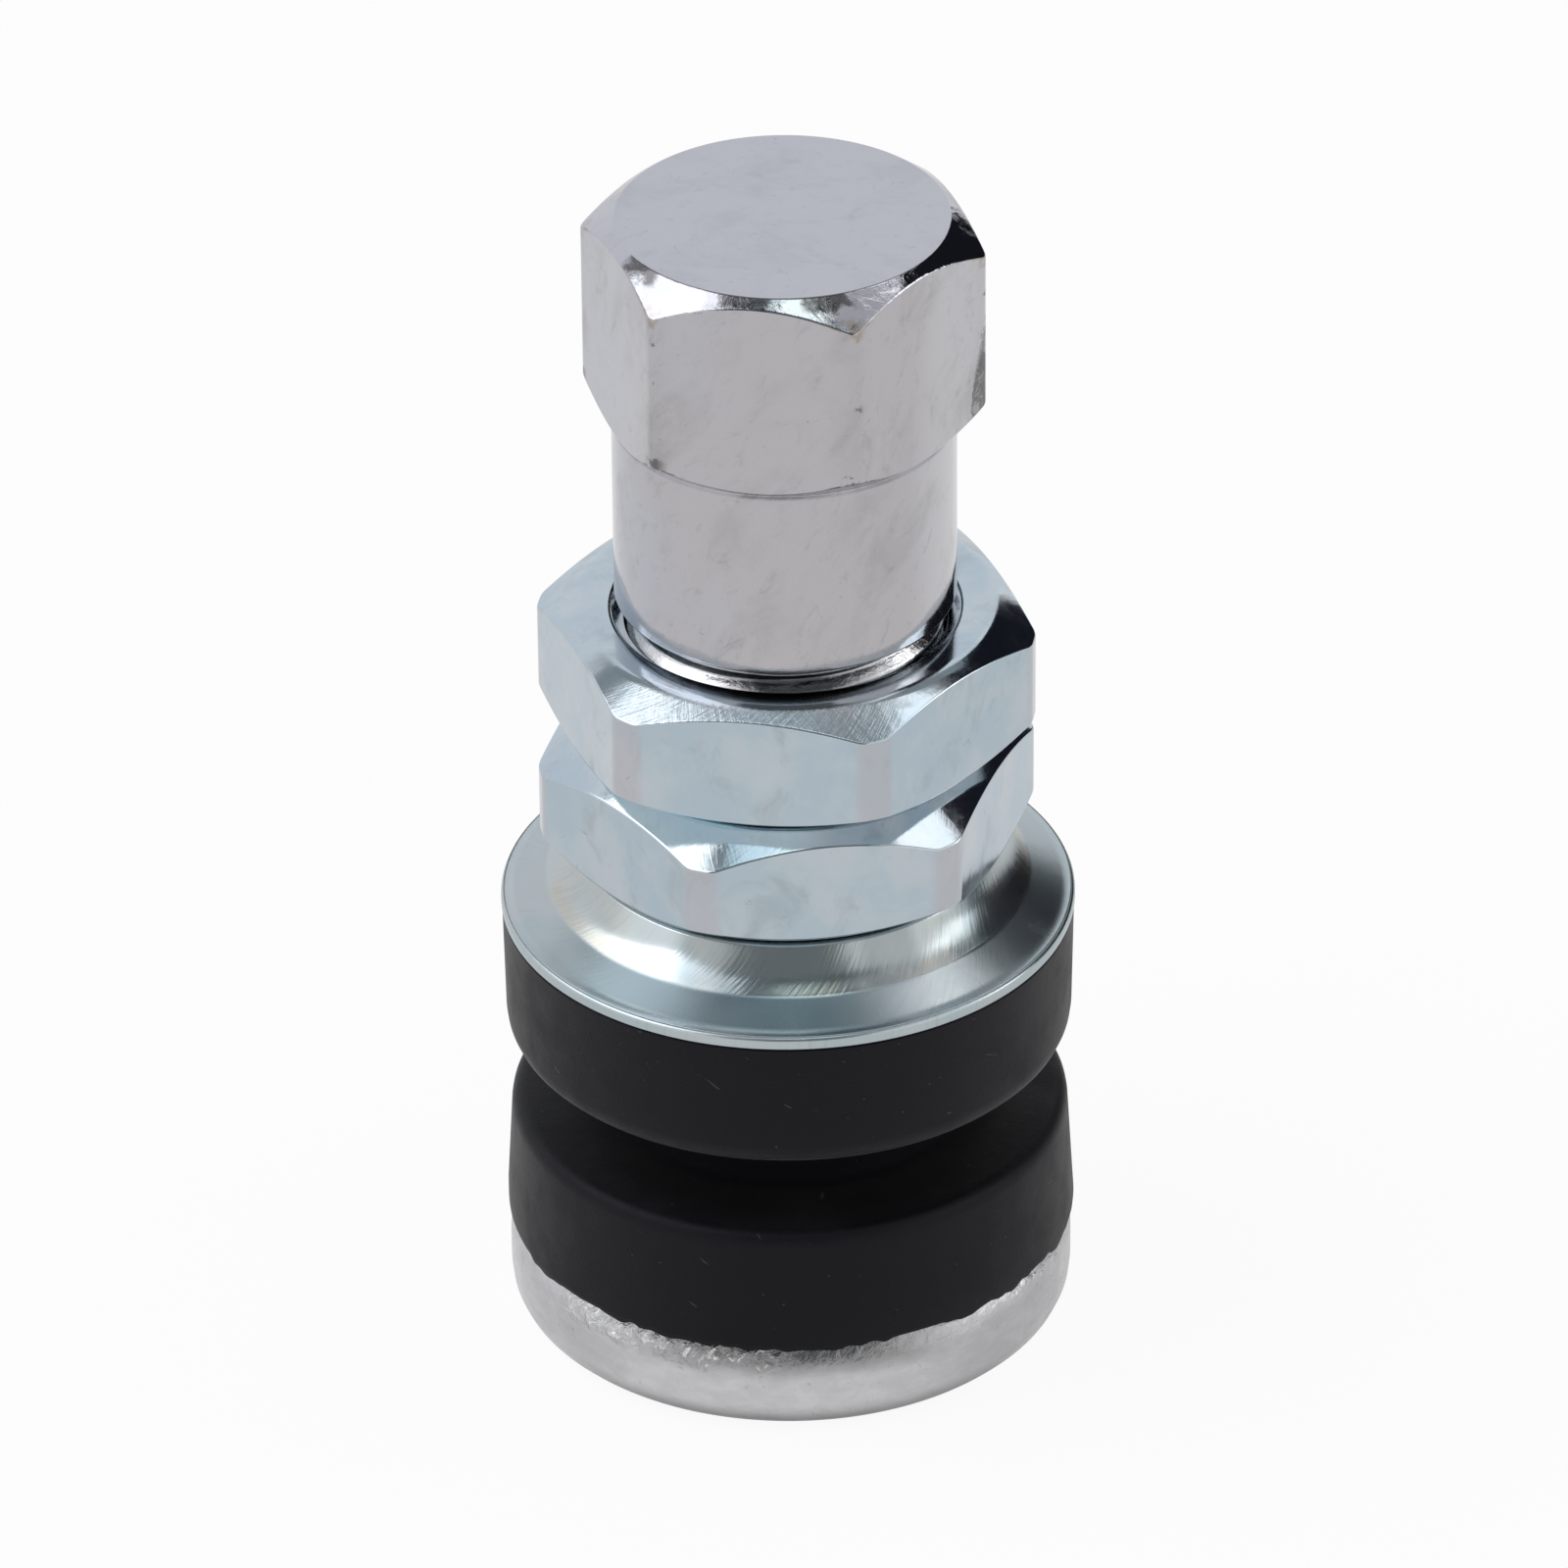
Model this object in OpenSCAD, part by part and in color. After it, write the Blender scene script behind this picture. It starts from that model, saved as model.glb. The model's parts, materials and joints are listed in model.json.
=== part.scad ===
// Clamp-in tyre valve: flanged stem, two rubber grommets, cup washer,
// two hexagon nuts, screw cap and the valve core inside the stem.
// The stem's axis is Z and the base stands on Z = 0.

/* [Base flange] */
// Diameter of the flange under the lower grommet
flange_d = 18; // [16.5:0.5:24]
// Thickness of the flange
flange_h = 3; // [2.2:0.1:6]
// Radius of the flange's lower edge
flange_round = 1.1; // [0.3:0.1:2]
// Bevel on the flange's upper edge
flange_bevel = 0.3; // [0.1:0.05:0.6]
// Diameter of the air hole in the base
air_hole_d = 3.6; // [2:0.1:3.9]

/* [Grommets] */
// How far both grommets stand out past the flange
grommet_proud = 0.05; // [0:0.01:0.15]
// Height of the lower grommet's ring
lower_grommet_h = 4.4; // [2.5:0.1:8]
// Width of the groove that takes the wheel rim
rim_gap = 2.6; // [1.5:0.1:6]
// Height of the upper grommet's ring
upper_grommet_h = 4.45; // [3:0.05:8]
// Diameter of the neck that fills the rim hole
neck_d = 11.5; // [11.2:0.1:13]
// How far the neck runs up into the upper grommet
spigot_h = 0.9; // [0.3:0.1:1.8]
// Edge radius of the lower grommet
lower_grommet_round = 0.5; // [0.1:0.1:1]
// Edge radius of the upper grommet
upper_grommet_round = 0.8; // [0.1:0.1:1.2]

/* [Cup washer] */
// How far the washer's rim stands out past the grommet
washer_overhang = 0.03; // [0:0.01:0.1]
// Thickness of the pressed sheet
washer_sheet = 0.55; // [0.3:0.05:1]
// Rise of the dished rim from its edge to the boss
dish_rise = 0.5; // [0.2:0.05:1.2]
// Diameter at the foot of the conical boss
boss_foot_d = 15.3; // [14.2:0.1:15.6]
// Diameter of the boss's flat top
boss_top_d = 13.2; // [12:0.1:14]
// Rise of the boss above the dished rim
boss_rise = 1.25; // [0.5:0.05:2.5]

/* [Nuts] */
// Width across the flats
nut_af = 14; // [13:0.5:17]
// Height of each nut
nut_h = 4.2; // [3:0.1:8]
// How much the corners are flattened
nut_corner_cut = 0.23; // [0.05:0.01:0.5]
// Distance from the flats in to the flat ring on each face
nut_face_inset = 0.7; // [0.3:0.05:1.2]
// Slope of the corner chamfer in degrees
nut_chamfer = 28; // [15:1:35]
// Width of the countersink at each end of the bore
countersink_w = 0.45; // [0.1:0.05:0.8]
// Gap between the two nuts
jam_gap = 0.15; // [0.05:0.05:1]
// Turn of the lower nut from the upper one in degrees
lower_nut_angle = 19.5; // [0:0.5:60]

/* [Stem] */
// Outer diameter of the clamping thread
clamp_thread_d = 10; // [9:0.1:10.6]
// Outer diameter of the thread under the cap
valve_thread_d = 7.7; // [7.2:0.1:8.2]
// Depth of the relief groove between the two threads
relief_depth = 0.45; // [0.2:0.05:0.8]
// Length of that relief
relief_h = 0.9; // [0.4:0.1:2]
// Lead-in chamfer of each thread
thread_chamfer = 0.5; // [0.1:0.05:0.7]

/* [Cap] */
// Height of the whole cap
cap_h = 13.2; // [11:0.1:18]
// Width across the flats of the cap's head
cap_af = 11; // [10.5:0.1:13]
// Height of the hexagon head
cap_head_h = 6.8; // [4:0.1:9]
// Step from the flats in to the round barrel
cap_barrel_step = 0.15; // [0.05:0.05:0.8]
// Distance from the flats in to the round top face
cap_top_inset = 0.45; // [0.1:0.05:1.5]
// Slope of the top chamfer in degrees
cap_chamfer = 37; // [20:1:50]
// Slope of the chamfer under the head in degrees
cap_under_chamfer = 38; // [20:1:55]
// Bevel at the barrel's lower edge
cap_edge = 0.35; // [0.1:0.05:0.6]
// Thickness of the cap's roof
cap_roof = 1.6; // [1:0.1:3]
// Depth of the smooth lead-in under the cap's thread
cap_lead_in = 0.8; // [0.4:0.1:2]
// Gap between the cap's barrel and the upper nut
skirt_gap = 0.5; // [0.3:0.05:2]
// Thickness of the seal in the roof
cap_seal_h = 1.2; // [0.6:0.1:2]
// Hole in that seal, over the pin
cap_seal_hole_d = 3; // [2:0.1:4]

/* [Valve core] */
// Outer diameter of the plug's thread
plug_thread_d = 5.2; // [4.9:0.1:5.6]
// Length of the plug's thread
plug_thread_h = 3.9; // [3:0.1:5]
// Height of the plug's two-flat tongue
tongue_h = 1.8; // [1:0.1:2.5]
// Thickness of the tongue across its flats
tongue_w = 2.4; // [2.2:0.1:3]
// Depth of the plug's top below the stem's mouth
plug_recess = 0.9; // [0.6:0.1:2]
// Bore of the plug round the pin
plug_bore_d = 1.7; // [1.5:0.1:2]
// Outer diameter of the core barrel
barrel_d = 3.7; // [3.6:0.05:3.8]
// Length of the core barrel below the plug
barrel_h = 9.8; // [8:0.1:14]
// Wall of the core barrel
barrel_wall = 0.5; // [0.4:0.05:0.55]
// Height of the tapered seal
barrel_seal_h = 2.1; // [1:0.1:2.6]
// Diameter of the pin
pin_d = 1; // [0.8:0.05:1.1]
// Depth of the pin's tip below the stem's mouth
pin_recess = 0.4; // [0.2:0.05:0.8]
// Travel of the pin when it is pressed
pin_travel = 1.5; // [0.5:0.1:2]
// Diameter of the plunger cup
plunger_d = 3.5; // [3.2:0.1:3.6]
// Height of the plunger's seal
plunger_seal_h = 1.3; // [0.8:0.1:2]
// Diameter of the spring's wire
spring_wire_d = 0.3; // [0.2:0.02:0.34]
// Turns in the spring
spring_turns = 7; // [4:1:9]

/* [Fits] */
// Radial clearance of the nuts and the cap on their threads
thread_clearance = 0.06; // [0.02:0.01:0.12]
// Radial clearance of rubber round metal
rubber_clearance = 0.05; // [0.02:0.01:0.1]
// Radial clearance of sliding and turning core pieces
running_clearance = 0.05; // [0.02:0.01:0.1]
// Gap left between faces that seal on each other
seal_gap = 0.02; // [0.01:0.01:0.05]

/* [Hidden] */
$fn = 96;
arc_steps = 6;
past = 1;

// Levels of the clamped stack
z_lower_top = flange_h + lower_grommet_h;
z_upper_bottom = z_lower_top + rim_gap;
z_upper_top = z_upper_bottom + upper_grommet_h;
z_boss_foot = z_upper_top + washer_sheet + dish_rise;
z_washer_top = z_boss_foot + boss_rise;
z_upper_nut = z_washer_top + nut_h + jam_gap;
z_nuts_top = z_upper_nut + nut_h;

// Levels of the cap and the stem
z_skirt = z_nuts_top + skirt_gap;
z_cap_top = z_skirt + cap_h;
z_roof = z_cap_top - cap_roof;
z_mouth = z_roof - cap_seal_h;
z_clamp_end = z_nuts_top + skirt_gap / 2;
z_relief_end = z_clamp_end + relief_h;
z_head = z_cap_top - cap_head_h;

// Levels of the valve core, from the stem's mouth down
plug_end_gap = 0.4;
collar_h = 0.5;
lip_h = 0.4;
chamber_spare = 2;
z_plug_top = z_mouth - plug_recess;
z_tongue = z_plug_top - tongue_h;
z_plug_bottom = z_tongue - plug_thread_h;
z_seat_top = z_plug_bottom - plug_end_gap;
z_collar_top = z_plug_bottom - running_clearance;
z_seal_top = z_collar_top - collar_h;
z_seal_bottom = z_seal_top - barrel_seal_h;
z_barrel_bottom = z_plug_bottom - barrel_h;
z_spring_floor = z_barrel_bottom + lip_h + barrel_wall;
z_chamber_roof = z_seal_top + collar_h / 2;
z_plunger_top = z_barrel_bottom - seal_gap;
z_plunger_bottom = z_plunger_top - plunger_seal_h;
z_chamber_bottom = z_plunger_bottom - pin_travel - chamber_spare;

// Radii shared by pieces that fit each other
flange_r = flange_d / 2;
grommet_r = flange_r + grommet_proud;
washer_r = grommet_r + washer_overhang;
rim_round = washer_sheet / 2;
clamp_r = clamp_thread_d / 2;
valve_r = valve_thread_d / 2;
relief_r = valve_r - relief_depth;
nut_bore_r = clamp_r + thread_clearance;
grommet_bore_r = clamp_r + rubber_clearance;
cap_bore_r = valve_r + thread_clearance;
neck_r = neck_d / 2;
air_hole_r = air_hole_d / 2;
air_bevel = 0.3;

// Radii of the valve core, from its thread and its barrel inwards
seat_step = 0.3;
chamber_gap = 0.15;
collar_proud = 0.05;
seal_groove = 0.12;
pin_gap = 0.3;
swivel_wall = 0.4;
swivel_h = 1.6;
tongue_inset = 0.3;
plug_r = plug_thread_d / 2;
plug_seat_r = plug_r + running_clearance;
taper_r = plug_seat_r - seat_step;
barrel_r = barrel_d / 2;
chamber_r = barrel_r + chamber_gap;
collar_r = chamber_r + collar_proud;
seal_seat_r = barrel_r - seal_groove;
spring_room_r = barrel_r - barrel_wall;
spring_r = spring_room_r - spring_wire_d / 2 - running_clearance;
pin_r = pin_d / 2;
pin_bore_r = pin_r + pin_gap;
swivel_r = pin_bore_r + swivel_wall;

// Collar and tail of the pin, and the plunger on it
pin_collar_r = spring_room_r - 2 * running_clearance;
pin_collar_h = 0.6;
pin_collar_drop = 0.5;
z_pin_collar = z_chamber_roof - pin_collar_drop - pin_collar_h;
pin_tail_r = pin_r + pin_gap;
pin_tail_h = 0.4;
plunger_r = plunger_d / 2;
plunger_wall = 0.25;
plunger_floor = 0.4;
plunger_proud = 0.35;

// Points of an arc round a centre, from one angle to another
function arc(centre, radius, from, to) =
    [for (i = [0 : arc_steps])
        let (a = from + (to - from) * i / arc_steps)
        centre + radius * [cos(a), sin(a)]];

// Solid of revolution of a profile of radius and height
module turned(profile) {
    rotate_extrude() polygon(profile);
}

// Hexagon prism cut to a turned envelope
module hexagon(across_flats, height, envelope) {
    intersection() {
        cylinder(d = across_flats / cos(30), h = height, $fn = 6);
        turned(envelope);
    }
}

module valve_stem() {
    color("silver")
    turned(concat(
        [[air_hole_r + air_bevel, 0]],
        arc([flange_r - flange_round, flange_round], flange_round, -90, 0),
        [
            [flange_r, flange_h - flange_bevel],
            [flange_r - flange_bevel, flange_h],
            [clamp_r, flange_h],
            [clamp_r, z_clamp_end - thread_chamfer],
            [clamp_r - thread_chamfer, z_clamp_end],
            [relief_r, z_clamp_end],
            [relief_r, z_relief_end],
            [valve_r, z_relief_end + relief_depth],
            [valve_r, z_mouth - thread_chamfer],
            [valve_r - thread_chamfer, z_mouth],
            [plug_seat_r + thread_chamfer / 2, z_mouth],
            [plug_seat_r, z_mouth - thread_chamfer / 2],
            [plug_seat_r, z_seat_top],
            [taper_r, z_seat_top],
            [chamber_r, z_seal_bottom],
            [chamber_r, z_chamber_bottom],
            [air_hole_r, z_chamber_bottom - chamber_r + air_hole_r],
            [air_hole_r, air_bevel]
        ]
    ));
}

module lower_grommet() {
    color([0.13, 0.13, 0.14])
    turned(concat(
        [
            [grommet_bore_r, flange_h],
            [grommet_r, flange_h]
        ],
        arc([grommet_r - lower_grommet_round, z_lower_top - lower_grommet_round],
            lower_grommet_round, 0, 90),
        arc([neck_r + lower_grommet_round, z_lower_top + lower_grommet_round],
            lower_grommet_round, 270, 180),
        [
            [neck_r, z_upper_bottom + spigot_h],
            [grommet_bore_r, z_upper_bottom + spigot_h]
        ]
    ));
}

module upper_grommet() {
    recess_r = neck_r + rubber_clearance;
    recess_top = z_upper_bottom + spigot_h + rubber_clearance;
    crown_r = boss_foot_d / 2 - rim_round;
    crown_z = z_upper_top + dish_rise - seal_gap;
    color([0.13, 0.13, 0.14])
    turned(concat(
        [
            [grommet_bore_r, recess_top],
            [recess_r, recess_top],
            [recess_r, z_upper_bottom]
        ],
        arc([grommet_r - upper_grommet_round, z_upper_bottom + upper_grommet_round],
            upper_grommet_round, -90, 0),
        [
            [grommet_r, z_upper_top - seal_gap],
            [washer_r - rim_round, z_upper_top - seal_gap],
            [crown_r, crown_z],
            [grommet_bore_r, crown_z]
        ]
    ));
}

module cup_washer() {
    foot_r = boss_foot_d / 2;
    top_r = boss_top_d / 2;
    color([0.7, 0.75, 0.78])
    turned(concat(
        [
            [nut_bore_r, z_washer_top - washer_sheet],
            [top_r - rim_round, z_washer_top - washer_sheet],
            [foot_r - rim_round, z_boss_foot - washer_sheet]
        ],
        arc([washer_r - rim_round, z_upper_top + rim_round], rim_round, -90, 90),
        [
            [foot_r, z_boss_foot],
            [top_r, z_washer_top],
            [nut_bore_r, z_washer_top]
        ]
    ));
}

// Thin hexagon nut, chamfered and countersunk at both ends
module nut() {
    corner_r = nut_af / 2 / cos(30) - nut_corner_cut;
    face_r = nut_af / 2 - nut_face_inset;
    drop = (corner_r - face_r) * tan(nut_chamfer);
    mouth_r = nut_bore_r + countersink_w;
    difference() {
        hexagon(nut_af, nut_h, [
            [0, 0],
            [face_r, 0],
            [corner_r, drop],
            [corner_r, nut_h - drop],
            [face_r, nut_h],
            [0, nut_h]
        ]);
        turned([
            [0, -past],
            [mouth_r + past, -past],
            [nut_bore_r, countersink_w],
            [nut_bore_r, nut_h - countersink_w],
            [mouth_r + past, nut_h + past],
            [0, nut_h + past]
        ]);
    }
}

module lower_nut() {
    color([0.7, 0.75, 0.78])
    translate([0, 0, z_washer_top])
    rotate([0, 0, lower_nut_angle])
    nut();
}

module upper_nut() {
    color([0.7, 0.75, 0.78])
    translate([0, 0, z_upper_nut])
    nut();
}

module cap() {
    corner_r = cap_af / 2 / cos(30);
    barrel_r = cap_af / 2 - cap_barrel_step;
    top_r = cap_af / 2 - cap_top_inset;
    top_drop = (corner_r - top_r) * tan(cap_chamfer);
    under_rise = (corner_r - barrel_r) * tan(cap_under_chamfer);
    color("gainsboro")
    difference() {
        union() {
            translate([0, 0, z_head])
            hexagon(cap_af, cap_head_h, [
                [0, 0],
                [barrel_r, 0],
                [corner_r, under_rise],
                [corner_r, cap_head_h - top_drop],
                [top_r, cap_head_h],
                [0, cap_head_h]
            ]);
            turned([
                [0, z_skirt],
                [barrel_r - cap_edge, z_skirt],
                [barrel_r, z_skirt + cap_edge],
                [barrel_r, z_head + past],
                [0, z_head + past]
            ]);
        }
        turned([
            [0, z_skirt - past],
            [cap_bore_r + cap_edge, z_skirt - past],
            [cap_bore_r + cap_edge, z_skirt + cap_lead_in],
            [cap_bore_r, z_skirt + cap_lead_in + cap_edge],
            [cap_bore_r, z_roof],
            [0, z_roof]
        ]);
    }
}

module cap_seal() {
    color([0.2, 0.2, 0.21])
    turned([
        [cap_seal_hole_d / 2, z_mouth + seal_gap],
        [valve_r, z_mouth + seal_gap],
        [valve_r, z_roof - seal_gap],
        [cap_seal_hole_d / 2, z_roof - seal_gap]
    ]);
}

module core_plug() {
    color("goldenrod")
    difference() {
        union() {
            translate([0, 0, z_plug_bottom])
            cylinder(r = plug_r, h = plug_thread_h);
            intersection() {
                translate([0, 0, z_tongue])
                cylinder(r = plug_r - tongue_inset, h = tongue_h);
                translate([-plug_r, -tongue_w / 2, z_tongue - past])
                cube([2 * plug_r, tongue_w, tongue_h + 2 * past]);
            }
        }
        translate([0, 0, z_plug_bottom - past])
        cylinder(d = plug_bore_d, h = z_plug_top - z_plug_bottom + 2 * past);
        translate([0, 0, z_plug_bottom - past])
        cylinder(r = swivel_r + running_clearance, h = swivel_h + running_clearance + past);
    }
}

module core_barrel() {
    color("gold")
    turned([
        [pin_bore_r, z_plug_bottom + swivel_h],
        [pin_bore_r, z_chamber_roof],
        [spring_room_r, z_chamber_roof],
        [spring_room_r, z_spring_floor],
        [pin_bore_r, z_spring_floor],
        [pin_bore_r, z_barrel_bottom],
        [spring_room_r, z_barrel_bottom],
        [spring_room_r, z_barrel_bottom + lip_h],
        [barrel_r, z_barrel_bottom + lip_h],
        [barrel_r, z_seal_bottom],
        [seal_seat_r, z_seal_bottom],
        [seal_seat_r, z_seal_top],
        [collar_r, z_seal_top],
        [collar_r, z_collar_top],
        [swivel_r, z_collar_top],
        [swivel_r, z_plug_bottom + swivel_h]
    ]);
}

module barrel_seal() {
    seat_slope = (taper_r - chamber_r) / (z_seat_top - z_seal_bottom);
    top_r = chamber_r + seat_slope * (z_seal_top - z_seal_bottom) - seal_gap;
    color("firebrick")
    turned([
        [seal_seat_r + seal_gap, z_seal_bottom + seal_gap],
        [chamber_r - seal_gap, z_seal_bottom + seal_gap],
        [top_r, z_seal_top - seal_gap],
        [seal_seat_r + seal_gap, z_seal_top - seal_gap]
    ]);
}

module core_pin() {
    z_tail = z_plunger_bottom - plunger_floor;
    color("khaki")
    turned([
        [0, z_tail - pin_tail_h],
        [pin_tail_r, z_tail - pin_tail_h],
        [pin_tail_r, z_tail],
        [pin_r, z_tail],
        [pin_r, z_pin_collar],
        [pin_collar_r, z_pin_collar],
        [pin_collar_r, z_pin_collar + pin_collar_h],
        [pin_r, z_pin_collar + pin_collar_h],
        [pin_r, z_mouth - pin_recess - pin_r / 2],
        [pin_r / 2, z_mouth - pin_recess],
        [0, z_mouth - pin_recess]
    ]);
}

module plunger_cup() {
    color("gold")
    turned([
        [pin_r + running_clearance, z_plunger_bottom - plunger_floor],
        [plunger_r, z_plunger_bottom - plunger_floor],
        [plunger_r, z_plunger_top - plunger_proud],
        [plunger_r - plunger_wall, z_plunger_top - plunger_proud],
        [plunger_r - plunger_wall, z_plunger_bottom],
        [pin_r + running_clearance, z_plunger_bottom]
    ]);
}

module plunger_seal() {
    color([0.2, 0.2, 0.21])
    turned([
        [pin_r + rubber_clearance, z_plunger_bottom],
        [plunger_r - plunger_wall - rubber_clearance, z_plunger_bottom],
        [plunger_r - plunger_wall - rubber_clearance, z_plunger_top],
        [pin_r + rubber_clearance, z_plunger_top]
    ]);
}

module core_spring() {
    sides = 6;
    steps_per_turn = 16;
    steps = steps_per_turn * spring_turns;
    wire_r = spring_wire_d / 2;
    low = z_spring_floor + wire_r + seal_gap;
    high = z_pin_collar - wire_r - seal_gap;
    ring_points = [for (i = [0 : steps], s = [0 : sides - 1])
        let (a = 360 * spring_turns * i / steps)
        let (b = 360 * s / sides)
        let (r = spring_r + wire_r * cos(b))
        [r * cos(a), r * sin(a), low + (high - low) * i / steps + wire_r * sin(b)]];
    walls = [for (i = [0 : steps - 1], s = [0 : sides - 1])
        let (n = (s + 1) % sides)
        [i * sides + s, (i + 1) * sides + s, (i + 1) * sides + n, i * sides + n]];
    ends = [
        [for (s = [0 : sides - 1]) s],
        [for (s = [sides - 1 : -1 : 0]) steps * sides + s]
    ];
    color("lightsteelblue")
    polyhedron(ring_points, concat(walls, ends));
}

valve_stem();
lower_grommet();
upper_grommet();
cup_washer();
lower_nut();
upper_nut();
cap();
cap_seal();
core_plug();
core_barrel();
barrel_seal();
core_pin();
plunger_cup();
plunger_seal();
core_spring();
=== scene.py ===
"""Clamp-in tyre valve, dressed for a plain studio picture.

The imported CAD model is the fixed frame. Each outer piece is turned again here at a finer grain,
with eased edges, screw threads and plated, moulded or tumbled finishes, and rides on the CAD body
it stands for. Sizes are in millimetres until a mesh is made, and the frame is in metres.
"""

import json
import logging
import math
from abc import ABC, abstractmethod
from collections.abc import Callable, Mapping, Sequence
from dataclasses import dataclass
from enum import Enum
from functools import partial, reduce
from typing import Any, ClassVar

import bpy
import numpy as np
from mathutils import Matrix, Vector, noise

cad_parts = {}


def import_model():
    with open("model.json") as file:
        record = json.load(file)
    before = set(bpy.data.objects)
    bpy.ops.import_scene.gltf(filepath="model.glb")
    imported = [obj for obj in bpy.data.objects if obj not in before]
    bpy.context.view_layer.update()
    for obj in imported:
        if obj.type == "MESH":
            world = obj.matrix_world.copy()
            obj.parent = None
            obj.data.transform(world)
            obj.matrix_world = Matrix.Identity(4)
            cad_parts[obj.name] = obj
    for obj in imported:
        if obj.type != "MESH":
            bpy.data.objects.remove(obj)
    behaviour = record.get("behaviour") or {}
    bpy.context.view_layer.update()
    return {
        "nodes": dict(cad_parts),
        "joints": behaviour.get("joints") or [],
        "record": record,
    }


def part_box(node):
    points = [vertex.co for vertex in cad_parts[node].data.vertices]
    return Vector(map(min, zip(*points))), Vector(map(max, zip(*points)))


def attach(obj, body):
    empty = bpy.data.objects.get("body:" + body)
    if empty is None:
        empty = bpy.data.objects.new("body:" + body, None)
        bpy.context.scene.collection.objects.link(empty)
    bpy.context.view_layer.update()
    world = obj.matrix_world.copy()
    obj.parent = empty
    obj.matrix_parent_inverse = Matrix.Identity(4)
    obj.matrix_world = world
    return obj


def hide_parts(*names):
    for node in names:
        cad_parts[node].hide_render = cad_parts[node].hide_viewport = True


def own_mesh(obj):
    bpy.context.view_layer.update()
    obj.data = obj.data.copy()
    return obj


LOG = logging.getLogger("tyre_valve")
MM = 0.001
RIPPLE_GAIN = 1.6

Triple = tuple[float, float, float]
Colour = Triple
Span = tuple[float, float]
Reshape = Callable[[np.ndarray, np.ndarray, np.ndarray], np.ndarray]


class Body(Enum):
    """CAD bodies that the pieces ride on."""

    STEM = "stem"
    LOWER_NUT = "lower_nut"
    UPPER_NUT = "upper_nut"
    CAP = "cap"
    CAP_SEAL = "cap_seal"
    PIN = "pin"


class Slot(Enum):
    """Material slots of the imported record."""

    STEM_METAL = "stem_metal"
    RUBBER = "rubber"
    ZINC_PLATE = "zinc_plate"
    CAP_CHROME = "cap_chrome"
    CORE_BRASS = "core_brass"
    SEAL_PLASTIC = "seal_plastic"
    SPRING_STEEL = "spring_steel"


# Shader graphs


class Signal:
    """A shader socket that can stand in Python arithmetic on values."""

    def __init__(self, graph: "Graph", socket: bpy.types.NodeSocket) -> None:
        """Keep the socket and the graph that it belongs to."""
        self.graph = graph
        self.socket = socket

    def __add__(self, other: "Number") -> "Signal":
        """Sum with a value."""
        return self.graph.math("ADD", self, other)

    def __radd__(self, other: float) -> "Signal":
        """Sum with a number on the left."""
        return self.graph.math("ADD", other, self)

    def __sub__(self, other: "Number") -> "Signal":
        """Difference from a value."""
        return self.graph.math("SUBTRACT", self, other)

    def __rsub__(self, other: float) -> "Signal":
        """Difference from a number on the left."""
        return self.graph.math("SUBTRACT", other, self)

    def __mul__(self, other: "Number") -> "Signal":
        """Product with a value."""
        return self.graph.math("MULTIPLY", self, other)

    def __rmul__(self, other: float) -> "Signal":
        """Product with a number on the left."""
        return self.graph.math("MULTIPLY", other, self)


Number = Signal | float
Input = Signal | float | Sequence[float]


@dataclass(frozen=True, kw_only=True)
class Pattern:
    """Fractal noise over a piece.

    Scale is in cells to the millimetre, detail is in octaves, roughness is the share of the finer
    ones, and swirl bends the pattern.
    """

    scale: float
    detail: float = 2.0
    roughness: float = 0.5
    swirl: float = 0.0


@dataclass(frozen=True, kw_only=True)
class Mottle(Pattern):
    """A pattern that is cut to a soft mask, 0 up to low and 1 from high on."""

    low: float
    high: float


@dataclass(frozen=True, kw_only=True)
class Relief(Pattern):
    """A pattern that stands out of the surface by its rise, in millimetres."""

    rise: float


@dataclass(frozen=True)
class Side:
    """A side of a piece, at a CAD angle in degrees.

    Its mask is 0 where the cosine of the angle from there is under fade, and 1 where it is over
    full.
    """

    bearing: float
    fade: float
    full: float


@dataclass(frozen=True)
class Tint:
    """A colour, and the share of it that a full mask lays on."""

    colour: Colour
    share: float


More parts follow.
